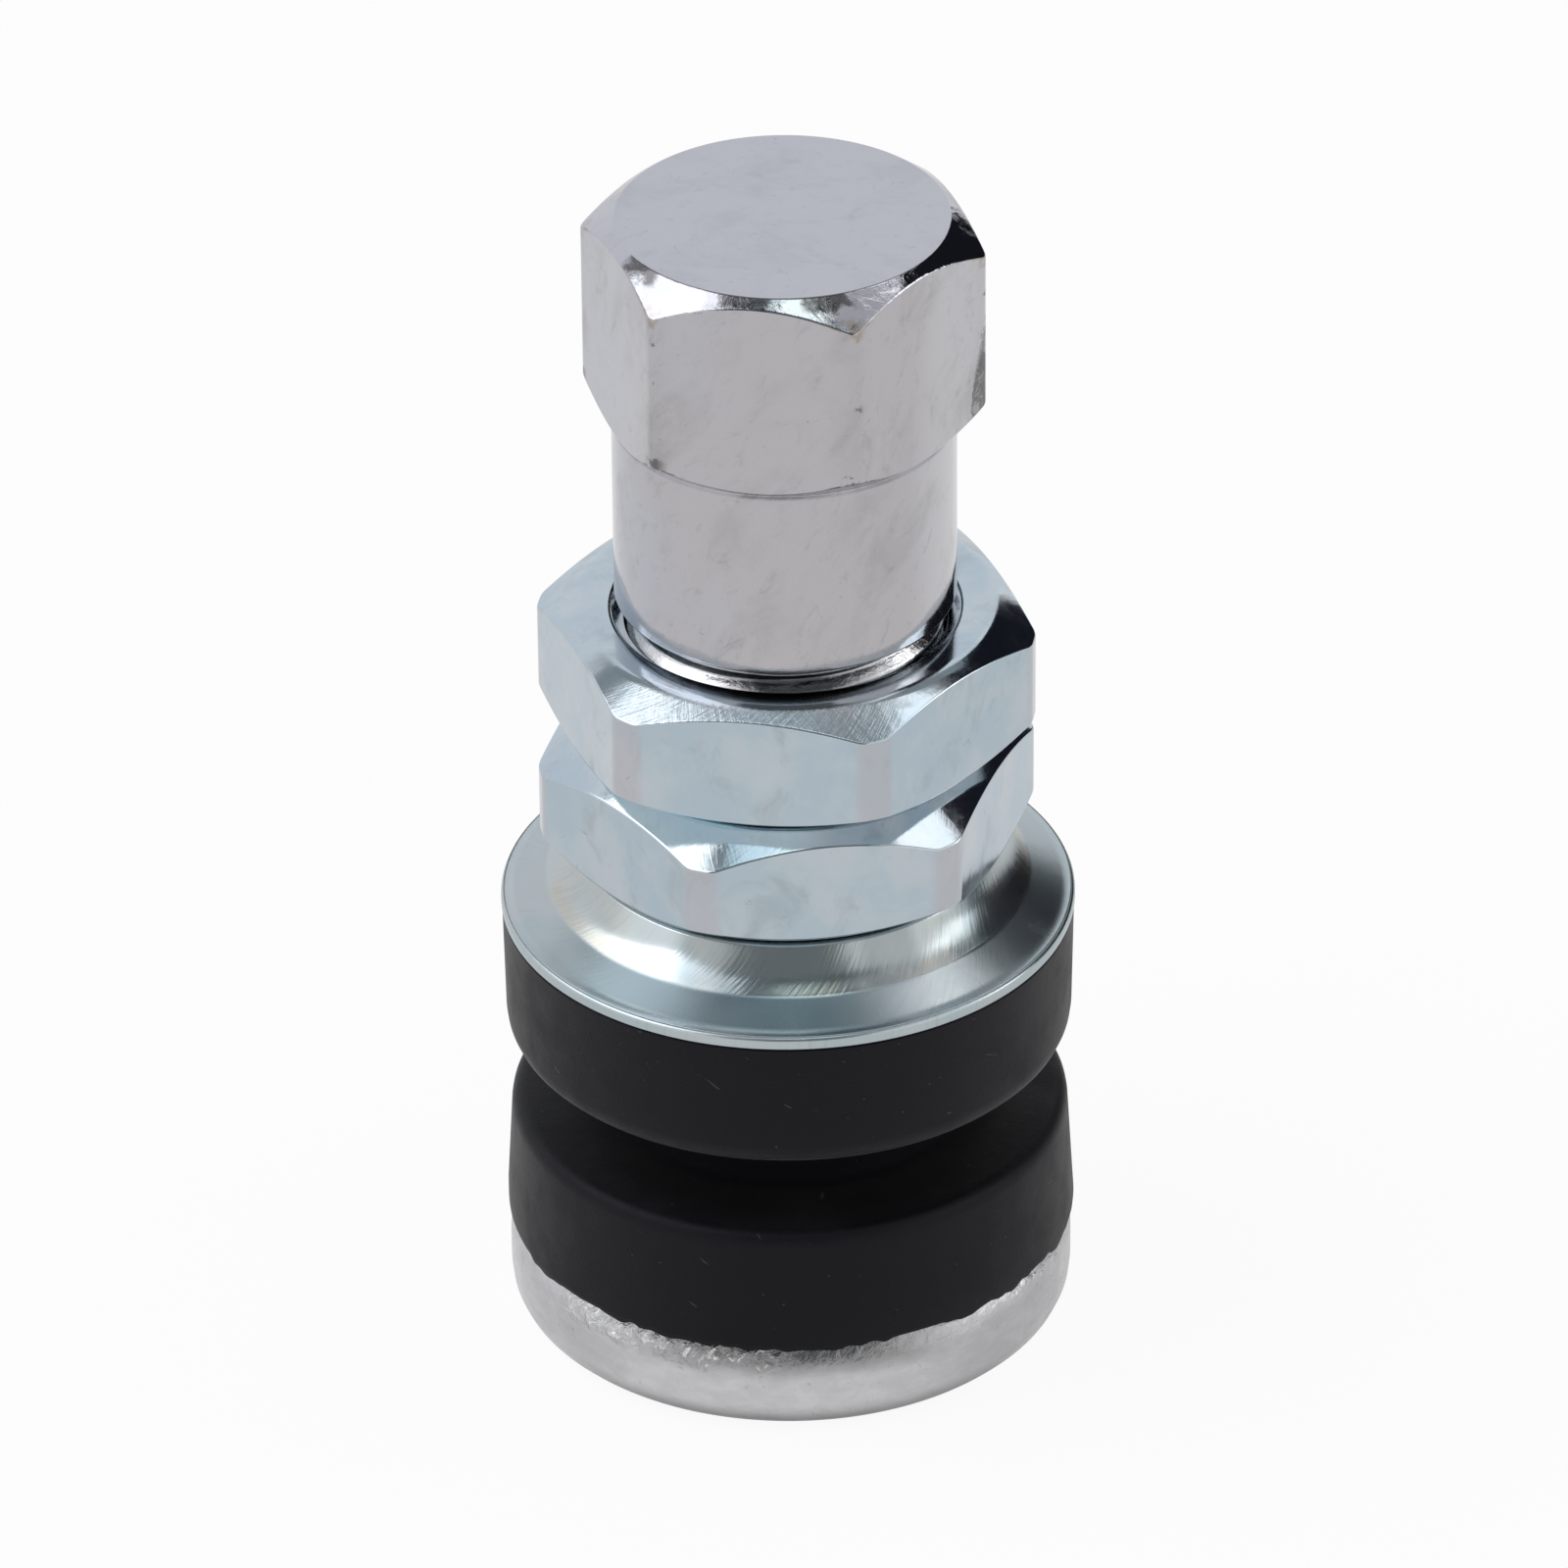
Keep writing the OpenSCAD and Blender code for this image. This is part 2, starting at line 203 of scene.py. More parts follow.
class Graph:
    """A node tree that is written as expressions."""

    def __init__(self, tree: bpy.types.NodeTree) -> None:
        """Start with an empty tree."""
        self.tree = tree
        tree.nodes.clear()

    def node(
        self,
        kind: str,
        settings: Mapping[str, Any] | None = None,
        inputs: Mapping[str | int, Input] | None = None,
    ) -> bpy.types.Node:
        """Add any node.

        Args:
            kind: Blender's type name of the node.
            settings: Properties of the node, which are set first.
            inputs: Values or signals for its sockets, by name or number.

        Returns:
            The new node.
        """
        made = self.tree.nodes.new(kind)
        for name, value in (settings or {}).items():
            setattr(made, name, value)
        for key, value in (inputs or {}).items():
            socket = made.inputs[key]
            if isinstance(value, Signal):
                self.tree.links.new(value.socket, socket)
            elif socket.type == "RGBA":
                socket.default_value = (*value[:3], 1.0)
            else:
                socket.default_value = value
        return made

    def out(self, node: bpy.types.Node, output: str | int = 0) -> Signal:
        """Signal of one output of a node."""
        return Signal(self, node.outputs[output])

    def math(self, operation: str, *operands: Number) -> Signal:
        """Math node on values."""
        inputs = dict(enumerate(operands))
        return self.out(self.node("ShaderNodeMath", {"operation": operation}, inputs))

    def step(self, value: Signal, low: float, high: float) -> Signal:
        """Smooth step of a value.

        Args:
            value: The value.
            low: Where the step starts, at 0.
            high: Where it is full, at 1.

        Returns:
            The step.
        """
        settings = {"interpolation_type": "SMOOTHSTEP"}
        inputs = {"Value": value, "From Min": low, "From Max": high}
        return self.out(self.node("ShaderNodeMapRange", settings, inputs))

    def band(self, value: Signal, low: float, high: float, blur: float) -> Signal:
        """Mask that is 1 between two values and fades over blur on either side."""
        over = self.step(value, high - blur, high + blur)
        return self.step(value, low - blur, low + blur) * (1.0 - over)

    def mix(self, share: Number, first: Input, second: Input) -> Signal:
        """Blend of two colours, the second at share 1."""
        inputs = {0: share, 6: first, 7: second}
        return self.out(self.node("ShaderNodeMix", {"data_type": "RGBA"}, inputs), 2)

    def tint(self, colour: Input, mask: Signal, tint: Tint) -> Signal:
        """Colour with a tint laid on where the mask is."""
        return self.mix(mask * tint.share, colour, tint.colour)

    def vector(self, x: Number, y: Number, z: Number) -> Signal:
        """Vector of three values."""
        return self.out(self.node("ShaderNodeCombineXYZ", None, {0: x, 1: y, 2: z}))

    def stretch(self, place: Signal, factors: Sequence[float]) -> Signal:
        """Place with each axis scaled by its own factor."""
        inputs = {0: place, 1: factors}
        return self.out(self.node("ShaderNodeVectorMath", {"operation": "MULTIPLY"}, inputs))

    def noise(self, place: Signal, pattern: Pattern) -> Signal:
        """Noise of a pattern, from 0 to 1.

        Args:
            place: Where the noise is read, in millimetres.
            pattern: The pattern.

        Returns:
            The noise value.
        """
        inputs = {
            "Vector": place,
            "Scale": pattern.scale,
            "Detail": pattern.detail,
            "Roughness": pattern.roughness,
            "Distortion": pattern.swirl,
        }
        return self.out(self.node("ShaderNodeTexNoise", None, inputs))

    def mottle(self, place: Signal, mottle: Mottle) -> Signal:
        """Mask of a mottled pattern."""
        return self.step(self.noise(place, mottle), mottle.low, mottle.high)

    def rings(self, radius: Signal, height: Signal, count: float) -> Signal:
        """Fine tool rings round the stem's axis, by their count in a millimetre."""
        return self.noise(self.vector(radius * count, height * count, 0.0), Pattern(scale=1.0))

    def place(self) -> Signal:
        """Place on the piece in millimetres of the CAD frame."""
        point = self.out(self.node("ShaderNodeTexCoord"), "Object")
        return self.stretch(point, (1 / MM, 1 / MM, 1 / MM))

    def grain(self, place: Signal, lean: float, size: Sequence[float]) -> Signal:
        """Place along a grain that leans from upright towards +X.

        Args:
            place: Place in millimetres.
            lean: Lean of the grain in degrees.
            size: Size of a grain across X, across Y and along itself, in millimetres.

        Returns:
            The place in grains.
        """
        inputs = {"Vector": place, "Rotation": (0.0, math.radians(lean), 0.0), "Scale": size}
        return self.out(self.node("ShaderNodeMapping", {"vector_type": "TEXTURE"}, inputs))

    def polar(self, place: Signal) -> tuple[Signal, Signal, Signal]:
        """Cylindrical place round the stem's axis.

        Args:
            place: Place in millimetres.

        Returns:
            Radius, angle and height.
        """
        split = self.node("ShaderNodeSeparateXYZ", None, {0: place})
        x, y, z = (self.out(split, i) for i in range(3))
        level = self.vector(x, y, 0.0)
        flat = self.node("ShaderNodeVectorMath", {"operation": "LENGTH"}, {0: level})
        return self.out(flat, "Value"), self.math("ARCTAN2", y, x), z

    def toward(self, angle: Signal, bearing: float) -> Signal:
        """1 where the piece looks to a CAD angle in degrees, and -1 on the far side."""
        return self.math("COSINE", angle - math.radians(bearing))

    def side(self, angle: Signal, side: Side) -> Signal:
        """Mask of one side of the piece."""
        return self.step(self.toward(angle, side.bearing), side.fade, side.full)

    def slope(self) -> Signal:
        """Upward share of the surface's normal, 1 on a level face."""
        normal = self.out(self.node("ShaderNodeNewGeometry"), "Normal")
        return self.out(self.node("ShaderNodeSeparateXYZ", None, {0: normal}), 2)

    def edge(self) -> Signal:
        """Mask of the eased edges, kept on the mesh."""
        return self.out(self.node("ShaderNodeAttribute", {"attribute_name": Lathe.EDGE}), "Fac")

    def bump(self, height: Signal, rise: float, below: Signal | None = None) -> Signal:
        """Normal of a raised surface.

        Args:
            height: Height from 0 to 1.
            rise: Depth of the whole relief in millimetres.
            below: Normal of a coarser relief under it.

        Returns:
            The bent normal.
        """
        inputs: dict[str | int, Input] = {
            "Strength": 1.0,
            "Distance": rise * MM,
            "Height": height,
        }
        if below is not None:
            inputs["Normal"] = below
        return self.out(self.node("ShaderNodeBump", None, inputs))

    def relief(
        self,
        place: Signal,
        relief: Relief,
        below: Signal | None = None,
        mask: Signal | None = None,
    ) -> Signal:
        """Normal of a relief.

        Args:
            place: Where the relief is read, in millimetres.
            relief: The relief.
            below: Normal of a coarser relief under it.
            mask: Where the relief stands, or everywhere.

        Returns:
            The bent normal.
        """
        height = self.noise(place, relief)
        if mask is not None:
            height = height * mask
        return self.bump(height, relief.rise, below)


# Finishes


def new_material(title: str, shade: Callable[[Graph], bpy.types.Node]) -> bpy.types.Material:
    """Material of a shader.

    Args:
        title: Name of the material.
        shade: Adds the shader's nodes to a graph and gives the last one.

    Returns:
        The material.
    """
    material = bpy.data.materials.new(title)
    material.use_nodes = True
    graph = Graph(material.node_tree)
    graph.node("ShaderNodeOutputMaterial", None, {"Surface": graph.out(shade(graph))})
    return material


class Finish(ABC):
    """A surface finish that becomes one material.

    Radii, heights and sizes in the finishes are in millimetres of the CAD frame, and leans are in
    degrees.
    """

    title: ClassVar[str]
    slot: ClassVar[Slot]
    made: ClassVar[dict["Finish", bpy.types.Material]] = {}

    @abstractmethod
    def surface(self, graph: Graph) -> dict[str, Input]:
        """Inputs of the Principled shader.

        Args:
            graph: Graph of the finish's material.

        Returns:
            Values and signals by the names of the shader's sockets.
        """

    def material(self) -> bpy.types.Material:
        """Material of this finish, made once for each setting of it.

        Returns:
            The material.
        """
        if self not in Finish.made:
            Finish.made[self] = new_material(self.title, self._shader)
        return Finish.made[self]

    def _shader(self, graph: Graph) -> bpy.types.Node:
        """Principled shader of this finish."""
        return graph.node("ShaderNodeBsdfPrincipled", None, self.surface(graph))


@dataclass(frozen=True)
class ChromePlate(Finish):
    """Bright chrome with soft handling smears, a scuffed chamfer, wear-chipped and gouged corners,
    darker corner bands, painted reflection tints on its flats and painted shade in the groove under
    its head.
    """

    title: ClassVar[str] = "chrome_plate"
    slot: ClassVar[Slot] = Slot.CAP_CHROME
    # cool and warm are painted reflection tints: cool on most flats, warm on the front side.
    cool: Colour = (0.500, 0.505, 0.552)
    warm: Colour = (0.502, 0.487, 0.505)
    smear: Colour = (0.33, 0.325, 0.33)
    nick_and_shade: Colour = (0.09, 0.085, 0.085)
    # Painted light on the upright flats of one side.
    pale: Tint = Tint((0.585, 0.580, 0.605), 0.75)
    fleck: Tint = Tint((0.15, 0.145, 0.145), 0.35)
    stain: Tint = Tint((0.30, 0.215, 0.12), 0.55)
    haze_share: float = 0.40
    wipe_share: float = 0.42
    burnt_share: float = 0.85
    chip_share: float = 0.75
    polish: float = 0.075
    haze_dulling: float = 0.06
    wipe_dulling: float = 0.05
    chip_dulling: float = 0.25
    groove_dulling: float = 0.2
    chamfer_gloss: float = 0.02
    corner_darkening: float = 0.10
    corner_mottle: float = 0.25
    # Shares of the painted shade in the groove under the head, even and mottled.
    groove_shade_share: float = 0.25
    groove_shade_mottle: float = 0.5

    warm_reflection_bearing: float = -62.0
    warm_reflection_fade: Span = (0.15, 0.85)
    drift_reach: float = 1.2
    upright_fade: Span = (0.1, 0.45)
    chamfer_slopes: Span = (0.45, 0.93)
    chamfer_blur: float = 0.05
    lit_side: Side = Side(-8.0, 0.88, 0.99)
    battered_side: Side = Side(0.0, 0.985, 0.998)
    burns: tuple[float, ...] = (-134.5, -93.5, -65.0)
    burn_radius: float = 5.3
    burn_fade: Span = (0.15, 0.35)
    burn_cut: Span = (0.986, 0.994)
    burn_stray: float = 0.03
    burn_ragged: float = 0.9
    tip_radius: float = 5.75
    tip_height: float = 37.75
    tip_fade: float = 0.3
    tip_rise: float = 0.15
    foot_height: float = 33.1
    battered_height: float = 34.9
    battered_fade: float = 0.5
    battered_wear: float = 0.2
    foot_reach: float = 0.35
    foot_wear: float = 0.18
    head_drops: Span = (0.5, 0.3)
    chip_cut: Span = (0.63, 0.72)
    gouge_height: float = 33.6
    gouge_width: float = 0.80
    gouge_lean: float = 40.0
    gouge_size: Triple = (1.0, 1.0, 1.8)
    gouge_depth: float = 0.06
    gouge_blur: float = 0.14
    gouge_fade: float = 0.1
    gouge_ragged: float = 1.1
    gouge_taper: float = 0.3
    gouge_least: float = 0.45
    gouge_cut: Span = (-0.08, 0.06)
    corner_radius: float = 6.3
    corner_width: float = 0.4
    groove_height: float = 32.1
    groove_half: float = 0.06
    groove_blur: float = 0.05
    smear_lean: float = 38.0
    smear_size: Triple = (1.0, 1.0, 2.2)
    scar_stretch: Triple = (1.0, 1.0, 1.5)

    drift: Pattern = Pattern(scale=0.3, detail=3.0)
    haze: Mottle = Mottle(scale=0.55, detail=6.0, roughness=0.62, swirl=0.4, low=0.46, high=0.72)
    wipes: Mottle = Mottle(scale=1.9, detail=6.0, roughness=0.68, swirl=0.6, low=0.54, high=0.74)
    flecks: Mottle = Mottle(scale=3.8, detail=4.0, roughness=0.65, swirl=0.5, low=0.665, high=0.73)
    tarnish: Mottle = Mottle(scale=1.2, detail=3.0, roughness=0.6, low=0.42, high=0.60)
    wear: Pattern = Pattern(scale=1.7, detail=4.0, roughness=0.65)
    tear: Pattern = Pattern(scale=2.0, detail=5.0, roughness=0.68)
    char: Pattern = Pattern(scale=1.5, detail=5.0, roughness=0.65)
    peel: Relief = Relief(scale=1.3, detail=3.0, roughness=0.55, rise=0.0016)
    waves: Relief = Relief(scale=0.75, rise=0.05)
    scars: Relief = Relief(scale=1.5, detail=5.0, roughness=0.62, swirl=0.8, rise=0.022)
    grain: Relief = Relief(scale=8.0, detail=3.0, roughness=0.7, rise=0.0009)

    def surface(self, graph: Graph) -> dict[str, Input]:
        """Inputs of the Principled shader.

        Args:
            graph: Graph of the finish's material.

        Returns:
            Values and signals by the names of the shader's sockets.
        """
        place = graph.place()
        radius, angle, height = graph.polar(place)
        slope = graph.slope()
        upright = 1.0 - graph.step(slope, *self.upright_fade)
        chamfer = graph.band(slope, *self.chamfer_slopes, self.chamfer_blur)
        smears = graph.grain(place, self.smear_lean, self.smear_size)
        hazy = graph.mottle(smears, self.haze)
        wiped = graph.mottle(smears, self.wipes)
        gouged = self._gouged(graph, place) * upright
        chips = graph.math("MAXIMUM", self._chipped(graph, place) * upright, gouged)
        burnt = self._burnt(graph, place) * chamfer
        low, high = self.groove_height - self.groove_half, self.groove_height + self.groove_half
        groove = graph.band(height, low, high, self.groove_blur)

        # Painted reflection: the upright flats turn warm towards the front side.
        drift = self.drift_reach * (graph.noise(place, self.drift) - 0.5)
        warm_reflection = graph.step(graph.toward(angle, self.warm_reflection_bearing) + drift, *self.warm_reflection_fade)
        colour = graph.mix(warm_reflection * upright, self.cool, self.warm)
        # Painted light: the upright flats on the side at -8 degrees are paler.
        colour = graph.tint(colour, graph.side(angle, self.lit_side) * upright, self.pale)
        handled = (hazy * self.haze_share + wiped * self.wipe_share) * (0.5 + 0.5 * upright)
        # Darker band along the head's corners on the upright flats, partly mottled.
        corner_start = self.corner_radius - self.corner_width
        corner = graph.step(radius, corner_start, self.corner_radius) * upright
        smeared = handled + corner * (self.corner_darkening + self.corner_mottle * hazy)
        colour = graph.mix(smeared, colour, self.smear)
        colour = graph.tint(colour, graph.mottle(place, self.flecks), self.fleck)
        colour = graph.tint(colour, self._tarnished(graph, place), self.stain)
        colour = graph.mix(burnt * self.burnt_share, colour, self.nick_and_shade)
        colour = graph.mix(chips * self.chip_share, colour, self.nick_and_shade)
        # Painted shade: the groove under the head is darkened, partly mottled.
        groove_shade = groove * (self.groove_shade_share + self.groove_shade_mottle * hazy)
        colour = graph.mix(groove_shade, colour, self.nick_and_shade)

        torn = graph.bump(gouged, self.gouge_depth)
        peeled = graph.relief(place, self.peel, torn)
        waved = graph.relief(place, self.waves, peeled, chamfer)
        scarred = graph.stretch(place, self.scar_stretch)
        scuffed = graph.relief(scarred, self.scars, waved, chamfer)
        handling = self.haze_dulling * hazy + self.wipe_dulling * wiped
        worn_polish = handling - self.chamfer_gloss * chamfer
        dulled = self.polish + worn_polish + self.chip_dulling * chips
        return {
            "Base Color": colour,
            "Metallic": 1.0,
            "Roughness": dulled + self.groove_dulling * groove,
            "Normal": graph.relief(place, self.grain, scuffed),
        }

    def _chipped(self, graph: Graph, place: Signal) -> Signal:
        """Mask of the chips along the head's edges, most of them at its foot and one corner.

        Args:
            graph: Graph of the finish's material.
            place: Place in millimetres.

        Returns:
            The mask.
        """
        _, angle, height = graph.polar(place)
        foot = 1.0 - graph.step(height, self.foot_height, self.foot_height + self.foot_reach)
        fade_start = self.battered_height - self.battered_fade
        below = 1.0 - graph.step(height, fade_start, self.battered_height)
        battered = graph.side(angle, self.battered_side) * below
        wear_and_reflection = graph.noise(place, self.wear) + self.foot_wear * foot
        wear_and_reflection = wear_and_reflection + self.battered_wear * battered
        head = graph.step(height, *(self.foot_height - drop for drop in self.head_drops))
        return graph.edge() * head * graph.step(wear_and_reflection, *self.chip_cut)

    def _gouged(self, graph: Graph, place: Signal) -> Signal:
        """Mask of the ragged gouge down the corner at +X, which tapers towards its top.

        Args:
            graph: Graph of the finish's material.
            place: Place in millimetres.

        Returns:
            The mask.
        """
        radius, angle, height = graph.polar(place)
        ragged = graph.noise(graph.grain(place, self.gouge_lean, self.gouge_size), self.tear) - 0.5
        taper = graph.math("MAXIMUM", height - self.gouge_height, 0.0)
        arc = graph.math("ABSOLUTE", angle) * self.corner_radius
        reach = arc + self.gouge_ragged * ragged + self.gouge_taper * taper
        gouged = 1.0 - graph.step(reach, self.gouge_width - self.gouge_blur, self.gouge_width)
        gouged = gouged * graph.step(radius, self.tip_radius, self.tip_radius + self.gouge_fade)
        torn = graph.step(ragged, *self.gouge_cut)
        return gouged * (self.gouge_least + (1.0 - self.gouge_least) * torn)

    def _tarnished(self, graph: Graph, place: Signal) -> Signal:
        """Mask of the tarnish on the tips of the head's upper corners.

        Args:
            graph: Graph of the finish's material.
            place: Place in millimetres.

        Returns:
            The mask.
        """
        radius, _, height = graph.polar(place)
        tips = graph.step(radius, self.tip_radius, self.tip_radius + self.tip_fade)
        top = graph.step(height, self.tip_height, self.tip_height + self.tip_rise)
        return graph.edge() * tips * top * graph.mottle(place, self.tarnish)

    def _burnt(self, graph: Graph, place: Signal) -> Signal:
        """Mask of the ragged dark marks where the plating burnt along the crown's edge.

        Args:
            graph: Graph of the finish's material.
            place: Place in millimetres.

        Returns:
            The mask.
        """
        radius, angle, _ = graph.polar(place)
        ragged = graph.noise(place, self.char) - 0.5
        sides = (graph.toward(angle, burn) for burn in self.burns)
        near = reduce(partial(graph.math, "MAXIMUM"), sides)
        along = graph.step(near + self.burn_stray * ragged, *self.burn_cut)
        low, high = (self.burn_radius + fade for fade in self.burn_fade)
        inner = graph.step(radius + self.burn_ragged * ragged, low, high)
        return along * (1.0 - inner)


@dataclass(frozen=True)
class ZincPlate(Finish):
    """Blue-white zinc with clouded flats, pinkish corners, chamfers scored by fine strokes, and a
    painted reflection that lightens the front chamfer.
    """

    title: ClassVar[str] = "zinc_plate"
    slot: ClassVar[Slot] = Slot.ZINC_PLATE
    blue: Colour = (0.450, 0.540, 0.605)
    pale: Colour = (0.535, 0.590, 0.630)
    grey: Tint = Tint((0.36, 0.385, 0.41), 0.45)
    pink: Tint = Tint((0.50, 0.475, 0.50), 0.55)
    spot: Tint = Tint((0.20, 0.22, 0.25), 0.4)
    # Painted reflection that lightens the front chamfer.
    wear_and_reflection: Tint = Tint((0.74, 0.77, 0.79), 0.4)
    stroke: Tint = Tint((0.34, 0.37, 0.40), 0.6)
    polish: float = 0.11
    haze_dulling: float = 0.10
    score_dulling: float = 0.12
    chamfer_gloss: float = 0.02

    corner_radius: float = 7.70
    corner_fade: float = 0.16
    chamfer_slopes: Span = (0.45, 0.97)
    chamfer_blur: float = 0.03
    scored_side: Side = Side(-90.0, 0.78, 0.94)
    scoring: float = 1.0
    stroke_radius: float = 7.0
    stroke_lean: float = 1.0
    stroke_count: float = 9.0
    cross_lean: float = -0.5
    cross_count: float = 7.0
    cross_layer: float = 4.0
    cross_share: float = 0.4
    stroke_cut: float = 1.9
    stroke_rise: float = 0.024
    score_cut: Span = (0.50, 0.60)
    flat_depth: float = 0.05
    chamfer_depth: float = 0.05
    score_depth: float = 0.9

    haze_stretch: Triple = (1.0, 1.0, 0.7)
    cloud: Mottle = Mottle(scale=0.32, detail=4.0, roughness=0.6, low=0.36, high=0.66)
    haze: Mottle = Mottle(scale=0.7, detail=6.0, roughness=0.62, swirl=0.7, low=0.50, high=0.74)
    spots: Mottle = Mottle(scale=2.4, detail=4.0, roughness=0.65, swirl=0.6, low=0.67, high=0.74)
    strokes: Pattern = Pattern(scale=1.0, detail=4.0, roughness=0.65)
    waves: Relief = Relief(scale=0.9, detail=3.0, rise=0.006)

    def surface(self, graph: Graph) -> dict[str, Input]:
        """Inputs of the Principled shader.

        Args:
            graph: Graph of the finish's material.

        Returns:
            Values and signals by the names of the shader's sockets.
        """
        place = graph.place()
        radius, angle, _ = graph.polar(place)
        chamfer = graph.band(graph.slope(), *self.chamfer_slopes, self.chamfer_blur)
        haze = graph.mottle(graph.stretch(place, self.haze_stretch), self.haze)
        outer = graph.step(radius, self.corner_radius, self.corner_radius + self.corner_fade)
        front = graph.side(angle, self.scored_side) * chamfer
        patches = front * self.scoring
        strokes = self._strokes(graph, place)
        scored = graph.step(strokes, *self.score_cut) * patches

        colour = graph.mix(graph.mottle(place, self.cloud), self.blue, self.pale)
        colour = graph.tint(colour, haze, self.grey)
        colour = graph.tint(colour, outer * (1.0 - chamfer), self.pink)
        colour = graph.tint(colour, graph.mottle(place, self.spots), self.spot)
        # Painted reflection: the front chamfer is lightened.
        colour = graph.tint(colour, front, self.wear_and_reflection)
        colour = graph.tint(colour, scored, self.stroke)

        depth = self.flat_depth + self.chamfer_depth * chamfer + self.score_depth * patches
        dulled = self.polish + self.haze_dulling * haze - self.chamfer_gloss * chamfer
        waved = graph.relief(place, self.waves)
        return {
            "Base Color": colour,
            "Metallic": 1.0,
            "Roughness": dulled + self.score_dulling * scored,
            "Normal": graph.bump(strokes * depth, self.stroke_rise, waved),
        }

    def _strokes(self, graph: Graph, place: Signal) -> Signal:
        """Two layers of fine strokes that cross each other.

        Args:
            graph: Graph of the finish's material.
            place: Place in millimetres.

        Returns:
            The strokes, from 0 to 1.
        """
        radius, angle, height = graph.polar(place)
        arc = angle * self.stroke_radius
        along = (radius + height) * self.stroke_cut
        across = (arc + radius * self.stroke_lean) * self.stroke_count
        back = (arc + radius * self.cross_lean) * self.cross_count
        first = graph.noise(graph.vector(across, along, 0.0), self.strokes)
        second = graph.noise(graph.vector(back, along, self.cross_layer), self.strokes)
        return (1.0 - self.cross_share) * first + self.cross_share * second


@dataclass(frozen=True)
class BrushedZinc(Finish):
    """Satin zinc of the pressed washer, with fine slanting strokes, a warm bloom on its boss, and
    painted shade, light and highlights on its dish and boss.
    """

    title: ClassVar[str] = "brushed_zinc"
    slot: ClassVar[Slot] = Slot.ZINC_PLATE
    teal: Colour = (0.44, 0.515, 0.54)
    pale: Colour = (0.51, 0.55, 0.57)
    straw: Colour = (0.505, 0.49, 0.43)
    # Colour of the painted shade on the dish and boss.
    deep: Colour = (0.165, 0.215, 0.24)
    shade: Tint = Tint((0.165, 0.215, 0.24), 0.5)
    light: Tint = Tint((0.70, 0.76, 0.79), 0.6)
    gleam: Tint = Tint((0.70, 0.76, 0.79), 0.55)
    spot: Tint = Tint((0.24, 0.27, 0.28), 0.35)
    stroke: Tint = Tint((0.24, 0.27, 0.28), 0.16)
    satin: float = 0.25
    cloud_dulling: float = 0.06
    boss_gloss: float = 0.06
    dish_shade: float = 0.18
    front_shade: float = 0.70
    boss_shade: float = 0.08
    boss_warmth: float = 0.35
    foot_warmth: float = 0.5

    boss_radius: float = 7.65
    rim_radius: float = 8.7
    edge_blur: float = 0.1
    foot_width: float = 0.35
    foot_blur: float = 0.12
    front_shade_side: Side = Side(-92.0, 0.5, 0.97)
    light_side: Side = Side(-38.0, 0.8, 0.985)
    gleam_side: Side = Side(-121.0, 0.975, 0.995)
    shade_sides: tuple[Side, ...] = (
        Side(-101.0, 0.985, 0.997),
        Side(-53.0, 0.985, 0.997),
        Side(-29.0, 0.985, 0.997),
    )
    stroke_radius: float = 8.0
    stroke_lean: float = 1.1
    stroke_count: float = 6.5
    stroke_cut: float = 0.9
    stroke_rise: float = 0.0065
    score_cut: Span = (0.48, 0.70)
    score_least: float = 0.3
    dish_depth: float = 0.3

    cloud: Mottle = Mottle(scale=0.22, detail=3.0, roughness=0.55, low=0.36, high=0.66)
    bloom: Mottle = Mottle(scale=0.35, detail=3.0, low=0.38, high=0.62)
    spots: Mottle = Mottle(scale=2.2, detail=4.0, roughness=0.65, swirl=0.5, low=0.68, high=0.75)
    patches: Mottle = Mottle(scale=0.35, low=0.40, high=0.60)
    strokes: Pattern = Pattern(scale=1.0, detail=3.0, roughness=0.6)
    waves: Relief = Relief(scale=0.5, rise=0.008)

    def surface(self, graph: Graph) -> dict[str, Input]:
        """Inputs of the Principled shader.

        Args:
            graph: Graph of the finish's material.

        Returns:
            Values and signals by the names of the shader's sockets.
        """
        place = graph.place()
        radius, angle, _ = graph.polar(place)
        cloud = graph.mottle(place, self.cloud)
        blur, foot_start = self.edge_blur, self.boss_radius - self.foot_width
        boss = 1.0 - graph.step(radius, self.boss_radius - blur, self.boss_radius + blur)
        foot = graph.band(radius, foot_start, self.boss_radius, self.foot_blur)
        rim = graph.step(radius, self.rim_radius - blur, self.rim_radius + blur)
        dish = (1.0 - boss) * (1.0 - rim)
        across = (angle * self.stroke_radius + radius * self.stroke_lean) * self.stroke_count
        strokes = graph.noise(graph.vector(across, radius * self.stroke_cut, 0.0), self.strokes)
        patchy = self.score_least + (1.0 - self.score_least) * graph.mottle(place, self.patches)
        scored = graph.step(strokes, *self.score_cut) * patchy

        colour = graph.mix(cloud, self.teal, self.pale)
        # Painted shade: the dish a little darker, its front much darker, the boss slightly. Below,
        # painted light on one side of the dish, and a painted highlight and painted shade streaks
        # on the boss.
        painted_shade = self.dish_shade + self.front_shade * graph.side(angle, self.front_shade_side)
        colour = graph.mix(painted_shade * dish + self.boss_shade * boss, colour, self.deep)
        colour = graph.tint(colour, dish * graph.side(angle, self.light_side), self.light)
        colour = graph.tint(colour, boss * graph.side(angle, self.gleam_side), self.gleam)
        for side in self.shade_sides:
            colour = graph.tint(colour, boss * graph.side(angle, side), self.shade)
        warmed = boss * self.boss_warmth + foot * self.foot_warmth
        colour = graph.mix(warmed * graph.mottle(place, self.bloom), colour, self.straw)
        colour = graph.tint(colour, graph.mottle(place, self.spots), self.spot)
        colour = graph.tint(colour, scored, self.stroke)

